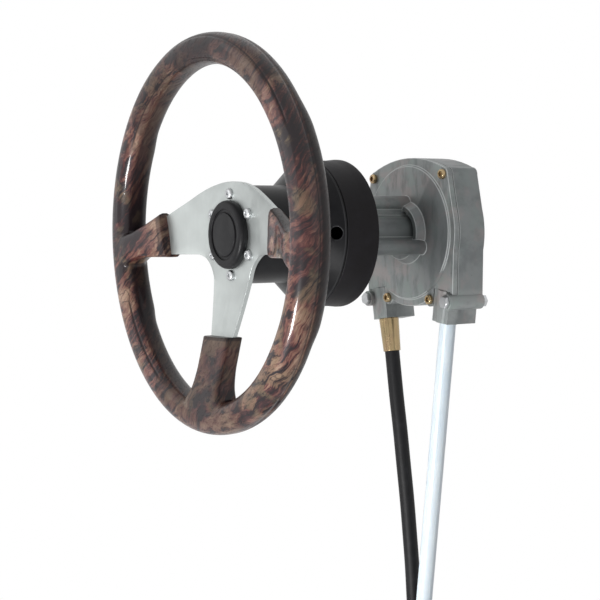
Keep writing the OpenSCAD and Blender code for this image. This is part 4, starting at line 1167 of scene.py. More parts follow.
@dataclass
class SoftCopy:
    """A copy of a CAD node whose edges a Bevel modifier rounds; the new faces carry the edge attribute.

    Widths and places are millimetres, and angles degrees. An edge is rounded where its angle is above
    sharp. The crowded numbers are an inner and an outer distance to the sides and the heights that go
    with them: edges beyond a distance and below its height lie too close together to be rounded.
    """

    node: str
    name: str
    body: str
    slot: Slot
    width: float
    sharp: float = 16.0
    crowded: tuple[float, float, float, float] | None = None
    weld: float = 0.002
    flat: float = 0.6
    segments: int = 2

    def cleaned(self) -> bpy.types.Mesh:
        """The node's mesh with joined corners, merged flat faces and two empty material places.

        Returns:
            The mesh with its sharp edges marked.
        """
        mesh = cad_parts[self.node].data.copy()
        work = bmesh.new()
        work.from_mesh(mesh)
        bmesh.ops.remove_doubles(work, verts=work.verts, dist=self.weld * MM)
        flat = math.radians(self.flat)
        bmesh.ops.dissolve_limit(work, angle_limit=flat, verts=work.verts, edges=work.edges)
        work.to_mesh(mesh)
        work.free()
        if "custom_normal" in mesh.attributes:
            mesh.attributes.remove(mesh.attributes["custom_normal"])
        mesh.materials.clear()
        for _ in range(2):
            mesh.materials.append(None)
        mesh.polygons.foreach_set("material_index", np.zeros(len(mesh.polygons), dtype=np.int32))
        shade_smooth(mesh, self.sharp)
        return mesh

    def bends(self, mesh: bpy.types.Mesh) -> np.ndarray:
        """Which edges are rounded: the sharp ones, apart from crowded ones.

        Args:
            mesh: The cleaned mesh.

        Returns:
            One truth value for each edge.
        """
        bends = read(mesh.attributes["sharp_edge"].data, "value", bool)
        if self.crowded is not None:
            inner, outer, high, low = self.crowded
            ends = read(mesh.edges, "vertices", np.int32, 2)
            middle = read(mesh.vertices, "co", np.float32, 3)[ends].mean(axis=1) / MM
            side = np.abs(middle[:, 0])
            bends &= (side < inner) | (middle[:, 2] > np.where(side < outer, high, low))
        return bends

    def build(self) -> bpy.types.Object:
        """Rounds the edges, marks the new faces and places the piece.

        Returns:
            The piece.
        """
        mesh = self.cleaned()
        weights = self.bends(mesh).astype(np.float32)
        mesh.attributes.new("bevel_weight_edge", "FLOAT", "EDGE").data.foreach_set("value", weights)
        soft = modified(mesh, self.name, "BEVEL", {
            "width": self.width * MM, "segments": self.segments, "limit_method": "WEIGHT",
            "use_clamp_overlap": False, "harden_normals": True, "material": 1,
        })
        new_face = read(soft.polygons, "material_index", np.int32)
        soft.attributes.new(EDGE, "FLOAT", "FACE").data.foreach_set("value", new_face.astype(np.float32))
        soft.polygons.foreach_set("material_index", np.zeros_like(new_face))
        return place_piece(soft, self.body, self.slot, [self.node], None)


# The part's sub-assemblies


@dataclass
class SteeringCable:
    """The free steering cable: one tube from the ferrule through the run and the coil to the anchor."""

    diameter: float = 14.0
    mouth: Sequence[float] = (-40.637, 90.5, -113.762)
    lean: float = 8.5
    run: Sequence[Sequence[float]] = (
        (-38, 90.5, -132), (-34, 90.5, -159), (-29.5, 91, -190), (-25.5, 91.5, -222), (-22, 92.5, -255),
        (-19.5, 93.5, -288), (-17.5, 94.5, -320), (-16, 95, -352), (-15, 96, -384), (-15, 96, -416),
    )
    coil_middle: Sequence[float] = (-7.5, 1, -457)
    coil_radius: float = 95.0
    loops: int = 4
    step: float = 15.0
    tail: float = 50.0
    sides: int = 28
    loop_points: int = 28
    entry: float = 18.0
    samples: int = 4

    def coil(self) -> np.ndarray:
        """Loops in the upright plane: the radius falls by a step a loop to the middle and grows again.

        Where the spiral turns back, the line moves sideways by one step to the second layer.

        Returns:
            Points in millimetres.
        """
        turn = np.linspace(0, self.loops, self.loop_points * self.loops + 1)
        radius = self.coil_radius - self.step * np.minimum(turn, self.loops - turn)
        layer = self.step * np.clip(2 * (turn - self.loops / 2), -0.5, 0.5)
        across, back, up = self.coil_middle
        return np.stack([
            across + layer,
            back + radius * np.cos(TURN * turn),
            up - radius * np.sin(TURN * turn),
        ], axis=-1)

    def route(self) -> np.ndarray:
        """A Catmull-Rom curve through the mouth, the run, the coil and the tail, in metres.

        Returns:
            Points along the cable.
        """
        coil = self.coil()
        down = np.array([0.0, 0.0, -1.0])
        ends = coil[-1] + np.outer(self.diameter + self.tail * np.array([0.0, 0.5, 1.0]), down)
        knots = np.vstack([[self.mouth], self.run, [coil[0] - self.diameter * down], coil, ends])
        lean = math.radians(self.lean)
        entry = np.array(self.mouth) - self.entry * np.array([math.sin(lean), 0, -math.cos(lean)])
        padded = np.vstack([entry, knots, 2 * knots[-1] - knots[-2]])
        before, start, end, after = (padded[i : len(padded) - 3 + i, None] for i in range(4))
        share = np.linspace(0, 1, self.samples, endpoint=False)[None, :, None]
        curve = 0.5 * (
            2 * start
            + (end - before) * share
            + (2 * before - 5 * start + 4 * end - after) * share**2
            + (3 * start - before - 3 * end + after) * share**3
        )
        return np.vstack([curve.reshape(-1, 3), knots[-1:]]) * MM

    def build(self) -> bpy.types.Object:
        """Carries a circle along the route, with frames kept upright to the coil's axis.

        Each circle lies across the route's direction; its first radius is the cross product of the
        direction and the x axis, which the route never follows.

        Returns:
            The cable.
        """
        route = self.route()
        ahead = np.gradient(route, axis=0)
        ahead /= np.linalg.norm(ahead, axis=1, keepdims=True)
        first = np.cross(ahead, np.array([1.0, 0.0, 0.0]))
        first /= np.linalg.norm(first, axis=1, keepdims=True)
        second = np.cross(ahead, first)
        angle = np.linspace(0, TURN, self.sides, endpoint=False)[None, :, None]
        radius = self.diameter / 2 * MM
        grid = route[:, None] + radius * (first[:, None] * np.cos(angle) + second[:, None] * np.sin(angle))
        mesh = Shell.from_grid(grid).to_mesh("steering_cable_line")
        self.unroll(mesh, route)
        replaced = ["steering_cable", "cable_coil", "cable_tail"]
        piece = place_piece(mesh, "gearbox", Slot.JACKET, replaced, sharp=60)
        return piece

    def unroll(self, mesh: bpy.types.Mesh, route: np.ndarray) -> None:
        """Adds the UV map: u is the length along the route, v the share round the cable.

        Args:
            mesh: The cable's mesh.
            route: Points that its circles follow.
        """
        run = np.concatenate([[0], np.cumsum(np.linalg.norm(np.diff(route, axis=0), axis=1))])
        lengths = np.concatenate([np.repeat(run, self.sides), [0, run[-1]]])
        shares = np.concatenate([np.tile(np.arange(self.sides) / self.sides, len(run)), [0, 0]])
        corners = read(mesh.loops, "vertex_index", np.int32)
        around = np.abs(2 * shares[corners] - 1)
        layer = mesh.uv_layers.new(name="lay")
        places = np.stack([lengths[corners], around], axis=-1)
        layer.data.foreach_set("uv", places.astype(np.float32).ravel())


class RimForm:
    """What the rim's shape and finish share, in metres and radians.

    Angles go round the section from the front. The side spokes' upper edge lies where the height and
    its slope times the distance to the side add up to spoke_edge. Creases show from the high span up
    and, left of the left span, between left_from and left_to below the middle.
    """

    crease_angle = math.radians(40)
    seam_angle = math.radians(98)
    sleeve_end = 0.0925
    end_shear = 0.154
    low_sleeve_end = -0.087
    spoke_slope = 0.404
    spoke_edge = 0.05651
    high = (0.075, 0.090)
    left = (0.030, 0.050)
    left_from = (0.055, 0.065)
    left_to = (0.135, 0.120)


@dataclass
class WoodRim:
    """The wooden rim with its three sleeves, carved from one fused surface, in millimetres.

    A span says where a change starts and ends: a distance from the middle, for the grips an angle in
    degrees from the horizontal, and for the groove an angle in radians from its line.
    """

    ring_r: float = 156.75
    half_w: float = 13.25
    half_t: float = 14.5
    forward: float = 131.5
    squareness: float = 2.35
    ring_steps: int = 360
    section_steps: int = 72
    grip_relief: float = 0.6
    grip_rear: float = 2.4
    grip_power: float = 0.6
    grip_from: Span = (-33.0, -25.0)
    grip_to: Span = (41.0, 30.0)
    plate_middle: float = 108.0
    dish_from: float = 48.0
    dish_to: float = 143.5
    sleeve_end: float = RimForm.sleeve_end / MM
    side_low: float = -19.5
    low_sleeve_end: float = RimForm.low_sleeve_end / MM
    low_half: float = 21.5
    sleeve_steps: int = 60
    box_steps: int = 88
    box_power: float = 0.36
    front: float = 10.5
    front_growth: float = 3.0
    rear: float = 8.0
    rear_growth: float = 4.0
    growth_span: Span = (110.0, 145.0)
    spoke_cover: float = 1.6
    side_span: Span = (122.0, 146.0)
    top_flare: float = 2.0
    low_flare: float = 8.0
    foot_span: Span = (120.0, 146.0)
    foot_flare: float = 9.0
    rear_fall: float = 8.0
    rear_power: float = 1.4
    bevel: float = 0.6
    bevel_growth: float = 1.4
    bevel_span: Span = (95.0, 143.0)
    bevel_depth: float = 0.45
    voxel: float = 1.2
    even_passes: int = 12
    fillet_passes: int = 14
    pull: float = 0.5
    push: float = 0.515
    root_from: Span = (126.0, 134.0)
    root_to: Span = (150.0, 146.0)
    root_top: float = 40.0
    crease_depth: float = 0.5
    groove_span: Span = (0.13, 0.02)
    ring_margin: float = 1.5

    def dish(self, radius: np.ndarray) -> np.ndarray:
        """Height of the spoke plate's middle: flat hub, straight rise, flat rim."""
        share = np.clip((radius - self.dish_from) / (self.dish_to - self.dish_from), 0, 1)
        return self.plate_middle + (self.forward - self.plate_middle) * share

    def ring(self) -> Shell:
        """A torus whose section is a slightly square ellipse, fuller behind and flatter inside at the grips.

        The section's width and thickness are powers of cosine and sine. The grips lie where the angle
        from the horizontal is between the two transitions.

        Returns:
            The closed ring.
        """
        around = np.linspace(-math.pi, math.pi, self.ring_steps, endpoint=False)[:, None]
        section = np.linspace(0, TURN, self.section_steps, endpoint=False)[None, :]
        across = self.half_w * signed_power(np.cos(section), 2 / self.squareness)
        ahead = self.half_t * signed_power(np.sin(section), 2 / self.squareness)
        lift = np.degrees(np.arctan2(np.sin(around), np.abs(np.cos(around))))
        grip = smooth(lift, self.grip_from) * smooth(lift, self.grip_to)
        inner, behind = (np.clip(-wave(section), 0, 1) ** self.grip_power for wave in (np.cos, np.sin))
        radius = self.ring_r + across + self.grip_relief * grip * inner
        level = self.forward + (ahead - self.grip_rear * grip * behind)
        plane = np.stack([radius * np.cos(around), radius * np.sin(around), level], axis=-1)
        return Shell.from_grid(to_frame(plane), ring=True)

    def box_section(self) -> tuple[np.ndarray, np.ndarray]:
        """A rounded box section as two arrays from -1 to 1: powers of cosine and sine."""
        angle = np.linspace(0, TURN, self.box_steps, endpoint=False)[None, :]
        return signed_power(np.cos(angle), self.box_power), signed_power(np.sin(angle), self.box_power)

    def thickness(
        self, place: np.ndarray, ahead: np.ndarray, taken_off: Union[np.ndarray, float] = 0.0
    ) -> np.ndarray:
        """A sleeve's height off the plate's middle.

        Args:
            place: Distance from the middle, which thickens both faces.
            ahead: The section's own depth, from -1 at the rear to 1 at the front.
            taken_off: What a bevel takes off the front.

        Returns:
            Heights in millimetres.
        """
        growth = smooth(place, self.growth_span)
        front = self.front + self.front_growth * growth - taken_off
        rear = self.rear + self.rear_growth * growth
        return np.where(ahead > 0, front * ahead, rear * ahead)

    def side_sleeve(self, side: int) -> Shell:
        """A sleeve on a side spoke: a rounded box carried outwards from its slanted inner end.

        Its upper edge falls with the spoke and its front swells towards the rim. A bevel that widens
        outwards takes off the front upper edge, the rear upper edge falls away with a power of the
        depth, and both edges flare where they meet the rim.

        Args:
            side: 1 for the right spoke, -1 for the left.

        Returns:
            The closed sleeve.
        """
        share = np.linspace(0, 1, self.sleeve_steps)[:, None]
        across, ahead = self.box_section()
        place = self.sleeve_end + (self.ring_r - self.sleeve_end) * share
        flare = smooth(place, self.side_span) ** 2
        edge = RimForm.spoke_edge / MM - place * RimForm.spoke_slope
        top = edge + self.spoke_cover + self.top_flare * flare
        low = self.side_low - self.low_flare * flare
        up = (top + low) / 2 + (top - low) / 2 * across
        up = up - self.rear_fall * np.clip(-ahead, 0, 1) ** self.rear_power * np.clip(across, 0, 1)
        right = place + RimForm.end_shear * up * (1 - share)
        bevel = self.bevel + self.bevel_growth * smooth(place, self.bevel_span)
        taken_off = self.bevel_depth * bevel * np.clip((up - top + bevel) / bevel, 0, 1)
        level = self.dish(np.hypot(right, up)) + self.thickness(place, ahead, taken_off)
        return Shell.from_grid(to_frame(np.stack([side * right, up, level], axis=-1)))

    def low_sleeve(self) -> Shell:
        """The lower spoke's sleeve: a rounded box carried down to the rim, flaring as it meets it.

        Returns:
            The closed sleeve.
        """
        share = np.linspace(0, 1, self.sleeve_steps)[:, None]
        across, ahead = self.box_section()
        up = self.low_sleeve_end + (-self.ring_r - self.low_sleeve_end) * share
        right = (self.low_half + self.foot_flare * smooth(-up, self.foot_span) ** 2) * across
        level = self.dish(np.hypot(right, up)) + self.thickness(-up, ahead)
        return Shell.from_grid(to_frame(np.stack([right, up + 0 * right, level], axis=-1)))

    def fused(self) -> bpy.types.Mesh:
        """The ring and sleeves as one skin from a voxel remesh.

        Returns:
            The fused mesh.
        """
        shell = Shell.joined([self.ring(), self.side_sleeve(1), self.side_sleeve(-1), self.low_sleeve()])
        settings = {"mode": "VOXEL", "voxel_size": self.voxel * MM}
        return modified(shell.to_mesh("rim_block"), "wooden_rim", "REMESH", settings)

    def carve(self, mesh: bpy.types.Mesh) -> None:
        """Smooths the skin and presses in the creases and the seam.

        Each pass moves the points towards the mean of their neighbours and then back by a little
        more, which keeps the volume; near the sleeves' roots plain passes make the fillets. A crease
        is a groove whose depth falls off with the angle from its line.

        Args:
            mesh: The fused skin, changed in place.
        """
        count = len(mesh.vertices)
        points = read(mesh.vertices, "co", np.float32, 3).astype(float)
        first, second = read(mesh.edges, "vertices", np.int32, 2).T
        ends = np.concatenate([first, second])
        others = np.concatenate([second, first])
        links = np.bincount(ends, minlength=count)[:, None]

        def towards_mean(place: np.ndarray) -> np.ndarray:
            """The way from each point to the mean of its neighbours."""
            total = np.stack([np.bincount(ends, place[others, i], count) for i in range(3)], axis=-1)
            return total / links - place

        radius = np.hypot(points[:, 0], points[:, 2]) / MM
        root = smooth(radius, self.root_from) * smooth(radius, self.root_to)
        root = root[:, None] * (points[:, 2:] / MM < self.root_top)
        for _ in range(self.even_passes):
            points += self.pull * towards_mean(points)
            points -= self.push * towards_mean(points)
        for _ in range(self.fillet_passes):
            points += self.pull * root * towards_mean(points)
        points += self.groove(points)[:, None] * self.inwards(points)
        mesh.vertices.foreach_set("co", points.astype(np.float32).ravel())
        mesh.update()

    def section_of(self, points: np.ndarray) -> tuple[np.ndarray, np.ndarray, np.ndarray]:
        """Distance outside the ring's middle circle, distance ahead of it, and the section's angle.

        Args:
            points: Points in metres.

        Returns:
            The distances in millimetres and the angle in radians.
        """
        outside = np.hypot(points[:, 0], points[:, 2]) / MM - self.ring_r
        ahead = -points[:, 1] / MM - self.forward
        return outside, ahead, np.arctan2(outside, ahead)

    def groove(self, points: np.ndarray) -> np.ndarray:
        """Depth of the creases and the seam at each point, in metres.

        Args:
            points: Points in metres.

        Returns:
            Depths, 0 away from the lines.
        """
        outside, _, angle = self.section_of(points)
        right, _, up = points.T
        low_left = smooth(-up, RimForm.left_from) * smooth(-up, RimForm.left_to) * smooth(-right, RimForm.left)
        seen = np.maximum(smooth(up, RimForm.high), low_left * (angle < 0))
        crease = smooth(np.abs(np.abs(angle) - RimForm.crease_angle), self.groove_span)
        seam = smooth(np.abs(angle - RimForm.seam_angle), self.groove_span)
        on_ring = np.abs(outside) < self.half_w + self.ring_margin
        return np.maximum(crease * seen, seam) * on_ring * self.crease_depth * MM

    def inwards(self, points: np.ndarray) -> np.ndarray:
        """Unit directions towards the section's middle.

        Args:
            points: Points in metres.

        Returns:
            One direction for each point.
        """
        outside, ahead, _ = self.section_of(points)
        radial = points[:, [0, 2]] / np.hypot(points[:, 0], points[:, 2])[:, None]
        size = np.hypot(outside, ahead) + np.finfo(np.float32).tiny
        return np.stack([-radial[:, 0] * outside, ahead, -radial[:, 1] * outside], axis=-1) / size[:, None]

    def build(self) -> bpy.types.Object:
        """Makes the rim in place of its two solid halves.

        Returns:
            The rim.
        """
        mesh = self.fused()
        self.carve(mesh)
        return place_piece(mesh, "wheel", Slot.WOOD, ["rim_front", "rim_rear"], sharp=60)


@dataclass
class WheelCentre:
    """Spoke plate, bare centre cap, plate screws and hub; levels are millimetres forward of the dash."""

    face: float = 110.0
    cap_r: float = 29.5
    cap_h: float = 7.4
    cap_steps: int = 160
    swell_r: float = 4.6
    swell_h: float = 4.2
    swell_from: float = 0.12
    swell_rows: int = 9
    corner: float = 0.45
    gap: float = 0.05
    recess_r: float = 21.75
    recess_slope: Span = (1.6, 0.7)
    ledge: float = 2.2
    ledge_slope: Span = (0.8, 0.6)
    disc_r: float = 18.75
    disc_gap: float = 0.1
    disc_seat: float = 2.0
    disc_steps: int = 128
    disc_wall: float = 1.0
    disc_edge: float = 0.8
    disc_low: float = 0.45
    crown: float = 0.4
    crown_rows: int = 9
    seat_w: float = 4.0
    seat_low: float = 0.5
    spigot_r: float = 23.8
    spigot_wall: float = 2.0
    spigot_len: float = 5.5
    screw_circle_r: float = 35.0
    screw_count: int = 6
    screw_r: float = 2.5
    screw_turn: float = 0.35
    head_r: float = 4.75
    head_h: float = 3.0
    head_edge: float = 0.2
    head_wall: float = 0.7
    head_top_r: float = 2.5
    socket: tuple[Span, ...] = ((1.75, 0.0), (1.5, 0.2), (1.5, 1.5))
    screw_len: float = 20.0

    def cap_profile(self) -> np.ndarray:
        """The cap's section: a swelling outer ring, a ledge, a sunk step for the disc, and the spigot.

        Returns:
            The rounded profile in millimetres.
        """
        face, top = self.face, self.face + self.cap_h
        low, ledge, seat = face + self.gap, top - self.ledge, face + self.disc_seat
        disc, bore = self.disc_r + self.disc_gap, self.spigot_r - self.spigot_wall
        middle_r, middle_h = self.cap_r - self.swell_r, top - self.swell_h
        arc = np.linspace(self.swell_from, 1, self.swell_rows) * TURN / 4
        swell = zip(middle_r + self.swell_r * np.cos(arc), middle_h + self.swell_h * np.sin(arc))
        return rounded([
            (self.cap_r, low), (self.cap_r, middle_h), *swell,
            (self.recess_r + self.recess_slope[0], top), (self.recess_r, top - self.recess_slope[1]),
            (self.recess_r, ledge), (disc + self.ledge_slope[0], ledge),
            (disc, ledge + self.ledge_slope[1]), (disc, seat + self.gap), (self.disc_r - self.seat_w, seat),
            (self.disc_r - self.seat_w, face + self.seat_low), (bore, face + self.seat_low),
            (bore, face - self.spigot_len), (self.spigot_r, face - self.spigot_len), (self.spigot_r, low),
        ], self.corner)

    def cap(self) -> None:
        """Turns the ring of the cap and its plain, slightly crowned disc."""
        ring = lathe(self.cap_profile(), self.cap_steps)
        place_piece(ring.to_mesh("centre_cap_ring"), "wheel", Slot.CAP, ["cap_ring"], sharp=50)
        top = self.face + self.cap_h
        inner = self.disc_r - self.disc_edge
        wall = Row(self.disc_r, top - self.disc_wall)
        rows = [Row(self.disc_r, self.face + self.disc_seat + self.gap), wall]
        rows += dome(wall, Row(inner, top - self.disc_low), steps=4)[1:]
        rows += [
            Row(r, top - self.disc_low + self.crown * (1 - (r / self.disc_r) ** 2))
            for r in np.linspace(inner, 1.0, self.crown_rows)[1:]
        ]
        disc = turned(rows, (0, 0), steps=self.disc_steps)
        place_piece(disc.to_mesh("centre_cap_disc"), "wheel", Slot.CAP, ["cap_disc"], sharp=50)

    def screw(self, index: int) -> Shell:
        """One button-head screw with a hexagon socket.

        Args:
            index: The screw's number, counted from the top.

        Returns:
            The closed screw.
        """
        face, top = self.face, self.face + self.head_h
        rows = shank(self.screw_r, face - self.screw_len, face)
        rows += [Row(self.head_r - self.head_edge, face), Row(self.head_r, face + self.head_edge)]
        rows += dome(Row(self.head_r, face + self.head_wall), Row(self.head_top_r, top), steps=6)
        rows += [Row(radius, top - depth, Cut.HEXAGON) for radius, depth in self.socket]
        angle = TURN / 4 + TURN * index / self.screw_count
        centre = (self.screw_circle_r * math.cos(angle), self.screw_circle_r * math.sin(angle))
        return turned(rows, centre, self.screw_turn * index)

    def build(self) -> None:
        """Builds the pieces on the wheel's middle."""
        SoftCopy("spoke_plate", "spoke_plate_face", "wheel", Slot.PLATE, width=0.25).build()
        SoftCopy("wheel_hub", "hub_cover", "wheel", Slot.HUB, width=1.0).build()
        self.cap()
        screws = Shell.joined([self.screw(i) for i in range(self.screw_count)])
        place_piece(screws.to_mesh("plate_screws"), "wheel", Slot.BRIGHT, ["wheel_screws"])


@dataclass
class Gearbox:
    """The die-cast case with its cover, screws, clamp bolts and cable entry; millimetres from the axis."""

    casting_edge: float = 0.6
    casting_sharp: float = 32.0
    bezel_edge: float = 0.9
    ferrule_edge: float = 0.6
    cover_front: float = -80.5
    screw_r: float = 2.5
    screw_turn: float = 0.4
    head_r: float = 4.5
    head_h: float = 3.5
    head_edge: float = 0.15
    head_wall: float = 1.9
    head_slope: float = 1.2
    recess: tuple[Span, ...] = ((2.45, 0.0), (2.25, 0.25), (2.2, 2.0))
    recess_end: Span = (0.6, 2.3)
    screw_len: float = 24.0
    screw_places: Sequence[tuple[float, float]] = ((52.53, 51.98), (32.0, -61.47))
    clamp_place: tuple[float, float] = (60.34, -63.11)
    clamp_front: float = -76.5
    clamp_end: float = -121.5
    ports: tuple[float, float, float, float] = (28.0, 60.0, -34.0, -50.0)
    bolt_r: float = 3.0
    bolt_chamfer: Span = (0.5, 0.6)
    bolt_turns: Mapping[int, float] = field(default_factory=lambda: {-1: 0.2, 1: 0.35})
    half_flats: float = 5.0
    collar: float = 0.3
    bolt_slope: float = 0.45
    bolt_top: tuple[float, ...] = (2.5, 0.4)
    bolt_head_h: float = 4.0

    def cover_screw(self, centre: tuple[float, float], turn: float) -> Shell:
        """One pan-head screw with a six-lobe recess.

        Args:
            centre: Its middle (right, up).
            turn: Angle of its recess.

        Returns:
            The closed screw.
        """
        face, top = self.cover_front, self.cover_front + self.head_h
        rows = shank(self.screw_r, face - self.screw_len, face)
        rows += [Row(self.head_r - self.head_edge, face), Row(self.head_r, face + self.head_edge)]
        rows += dome(Row(self.head_r, face + self.head_wall), Row(self.head_r - self.head_slope, top), steps=5)
        rows += [Row(radius, top - depth, Cut.SIX_LOBE) for radius, depth in self.recess]
        rows += [Row(self.recess_end[0], top - self.recess_end[1])]
        return turned(rows, centre, turn)

    def clamp_bolt(self, side: int, turn: float) -> Shell:
        """One hexagon bolt: a round collar under the head, whose flats slope in to a round top.

        Args:
            side: 1 for the right bolt, -1 for the left.
            turn: Angle of its head.

        Returns:
            The closed bolt.
        """
        front, top = self.clamp_front, self.clamp_front + self.bolt_head_h
        inner = self.half_flats - self.collar
        rows = shank(self.bolt_r, self.clamp_end, front, self.bolt_chamfer)
        rows += [
            Row(inner, front), Row(inner, front + self.collar),
            Row(self.half_flats, front + self.collar, Cut.HEXAGON),
            Row(self.half_flats, top - self.bolt_slope, Cut.HEXAGON), Row(inner, top),
        ]
        rows += [Row(radius, top) for radius in self.bolt_top]
        return turned(rows, (side * self.clamp_place[0], self.clamp_place[1]), turn)

    def build(self) -> None:
        """Builds the case's pieces."""
        for node, name in (("front_cover", "cover_casting"), ("rear_housing", "housing_casting")):
            SoftCopy(
                node, name, "gearbox", Slot.CASTING, self.casting_edge, self.casting_sharp, self.ports
            ).build()
        SoftCopy("bezel", "dash_bezel", "gearbox", Slot.BEZEL, self.bezel_edge).build()
        SoftCopy("cable_ferrule", "cable_ferrule_sleeve", "gearbox", Slot.ZINC, self.ferrule_edge).build()
        places = [(side * right, up) for side in (-1, 1) for right, up in self.screw_places]
        screws = Shell.joined([
            self.cover_screw(place, self.screw_turn * i) for i, place in enumerate(places)
        ])
        place_piece(screws.to_mesh("cover_pan_screws"), "gearbox", Slot.ZINC, ["cover_screws"])
        bolts = Shell.joined([self.clamp_bolt(side, turn) for side, turn in self.bolt_turns.items()])
        place_piece(bolts.to_mesh("clamp_hex_bolts"), "gearbox", Slot.BRIGHT, ["clamp_bolts"], sharp=15)


@dataclass
class KeptSolids:
    """CAD nodes whose shape is right: they stay and get their slot's finish."""

    slots: Mapping[Slot, Sequence[str]] = field(default_factory=lambda: {
        Slot.BRIGHT: ("clamp_nuts", "anchor_nut", "cable_anchor"),
        Slot.STEEL: (
            "shaft_nut", "nut_washer", "shaft_key", "steering_shaft", "shaft_clip", "bezel_screws",
            "ring_gear", "cable_core", "cable_drum", "planet_pins", "planet_clips",
            "planet_gear_1", "planet_gear_2", "planet_gear_3",
        ),
        Slot.RUBBER: ("cover_gasket", "shaft_seal"),
        Slot.BRONZE: ("front_bush", "cover_bush", "tail_bush", "drum_bush"),
        Slot.TRIM: ("coil_ties", "anchor_cap"),
        Slot.MILKY: ("spent_tube", "tube_end_cap", "thrust_washer"),
    })

    def build(self) -> None:
        """Puts the finishes into the nodes' material slots."""
        for slot, nodes in self.slots.items():
            for name in nodes:
                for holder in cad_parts[name].material_slots:
                    holder.material = slot.finish.material()
            LOG.info("finish %s on %d solids", slot.finish.name, len(nodes))


# The studio


@dataclass
class Softbox:
    """An area light aimed at a point, in metres and watts."""

    name: str
    place: Sequence[float]
    aim: Sequence[float]
    size: tuple[float, float]
    power: float

    def build(self) -> None:
        """Adds the light, with its long side upright."""
        data = bpy.data.lights.new(self.name, "AREA")
        data.shape = "RECTANGLE"
        data.size, data.size_y = self.size
        data.energy = self.power
        light = bpy.data.objects.new(self.name, data)
        back = np.array(self.place, dtype=float) - np.array(self.aim, dtype=float)
        back /= np.linalg.norm(back)
        right = np.cross([0.0, 0.0, 1.0], back)
        right /= np.linalg.norm(right)
        light.matrix_world = pose_matrix(self.place, right, np.cross(back, right), back)
        bpy.context.scene.collection.objects.link(light)


def pose_matrix(
    place: Sequence[float], right: Sequence[float], up: Sequence[float], back: Sequence[float]
) -> Matrix:
    """A placing matrix from three axes and a place.

    Args:
        place: Where the thing stands.
        right: Its x axis.
        up: Its y axis.
        back: Its z axis.

    Returns:
        The matrix.
    """
    axes = np.eye(4)
    axes[:3] = np.stack([right, up, back, place], axis=-1)
    return Matrix(axes.tolist())


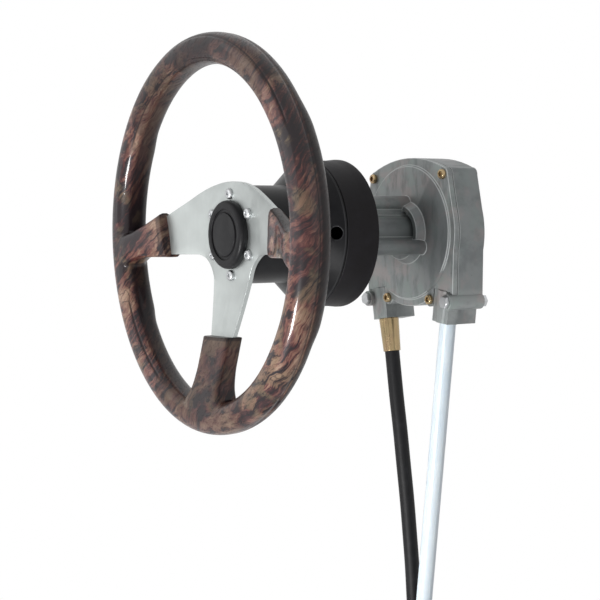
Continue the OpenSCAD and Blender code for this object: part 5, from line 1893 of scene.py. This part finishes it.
@dataclass
class Studio:
    """Camera at the photograph's angle, pale floor, white surroundings and soft lights."""

    camera_place: Sequence[float] = (1.04373, -0.70829, -0.0033)
    right: Sequence[float] = (0.53961, 0.841803, -0.013697)
    up: Sequence[float] = (-0.030176, 0.035597, 0.998911)
    back: Sequence[float] = (0.841374, -0.538609, 0.044611)
    lens: float = 83.904
    sensor: float = 36.0
    clip: Span = (0.02, 200.0)
    floor_reach: float = 30.0
    floor_lines: int = 9
    floor_gap: float = 0.0005
    floor_paint: Sequence[float] = (0.9, 0.9, 0.9, 1.0)
    floor_glow: float = 0.72
    floor_fade: Span = (0.5, 0.95)
    ambient: float = 0.36
    boxes: Sequence[Softbox] = (
        Softbox("low_strip", (0.28, -0.84, -0.47), (0.02, -0.13, 0), (0.24, 0.22), 9.0),
        Softbox("key", (-0.7, -1.9, 0.8), (0, 0, 0), (2.6, 1.9), 13.5),
        Softbox("fill", (1.9, 0.5, 0.6), (0, 0, 0), (1.0, 1.2), 1.6),
    )

    def camera(self) -> None:
        """Adds the camera and makes it the scene's own."""
        data = bpy.data.cameras.new("view")
        data.lens = self.lens
        data.sensor_width = self.sensor
        data.clip_start, data.clip_end = self.clip
        camera = bpy.data.objects.new("view", data)
        camera.matrix_world = pose_matrix(self.camera_place, self.right, self.up, self.back)
        bpy.context.scene.collection.objects.link(camera)
        bpy.context.scene.camera = camera

    @staticmethod
    def shown(graph: Graph) -> Value:
        """1 for rays from the camera, a mirror or glass, and 0 for the rays that light things.

        Args:
            graph: The graph to add to.

        Returns:
            The factor.
        """
        path = graph.add("ShaderNodeLightPath").socket.node.outputs
        kinds = ("Camera", "Glossy", "Transmission")
        seen, *others = (Value(graph, path[f"Is {kind} Ray"]) for kind in kinds)
        return seen.most(*others)

    def surroundings(self) -> None:
        """A world that is white where it is seen and dimmer where it lights."""
        world = bpy.data.worlds.new("white_room")
        graph = Graph(world)
        light, white = (
            graph.add("ShaderNodeBackground", None, {0: WHITE, 1: strength})
            for strength in (self.ambient, 1.0)
        )
        mixed = graph.add("ShaderNodeMixShader", None, {0: self.shown(graph), 1: light, 2: white})
        graph.add("ShaderNodeOutputWorld", None, {"Surface": mixed})
        bpy.context.scene.world = world

    def floor_finish(self) -> bpy.types.Material:
        """Diffuse paint that the shadow darkens, mixed with a white glow that is full far off.

        Returns:
            The material.
        """
        graph = Graph(bpy.data.materials.new("pale_floor"))
        across, along, _ = graph.parts(graph.place())
        far = ((across * across + along * along) ** 0.5).band(*self.floor_fade)
        paint = graph.add("ShaderNodeBsdfDiffuse", None, {0: self.floor_paint})
        glow = graph.add("ShaderNodeEmission", None, {0: WHITE, 1: 1.0})
        share = self.shown(graph) * (self.floor_glow + far * (1 - self.floor_glow))
        mixed = graph.add("ShaderNodeMixShader", None, {0: share, 1: paint, 2: glow})
        graph.add("ShaderNodeOutputMaterial", None, {"Surface": mixed})
        return graph.owner

    def floor(self) -> None:
        """A flat floor under the part, pale near it so that it keeps the shadow, and white far off."""
        reach = np.linspace(-self.floor_reach, self.floor_reach, self.floor_lines)
        right, back = np.meshgrid(reach, reach)
        low = np.full_like(right, CAD_BOX[0][2] - self.floor_gap)
        points = np.stack([right, back, low], axis=-1).reshape(-1, 3)
        index = np.arange(right.size).reshape(right.shape)
        corners = [index[:-1, :-1], index[:-1, 1:], index[1:, 1:], index[1:, :-1]]
        quads = np.stack(corners, axis=-1).reshape(-1, 4)
        mesh = Shell(points, quads, np.empty((0, 3), dtype=int)).to_mesh("studio_floor")
        mesh.materials.append(self.floor_finish())
        floor = bpy.data.objects.new("studio_floor", mesh)
        bpy.context.scene.collection.objects.link(floor)

    def build(self) -> None:
        """Adds everything but the camera; the lacquer shows the low strip's reflection."""
        self.surroundings()
        self.floor()
        for box in self.boxes:
            box.build()
        bpy.context.scene.view_settings.view_transform = "Standard"


def main() -> None:
    """Builds the camera and the cable first, then the other pieces."""
    logging.basicConfig(level=logging.INFO, format="%(name)s: %(message)s")
    studio = Studio()
    studio.camera()
    SteeringCable().build()
    WoodRim().build()
    WheelCentre().build()
    Gearbox().build()
    KeptSolids().build()
    studio.build()


if __name__ == "__main__":
    main()
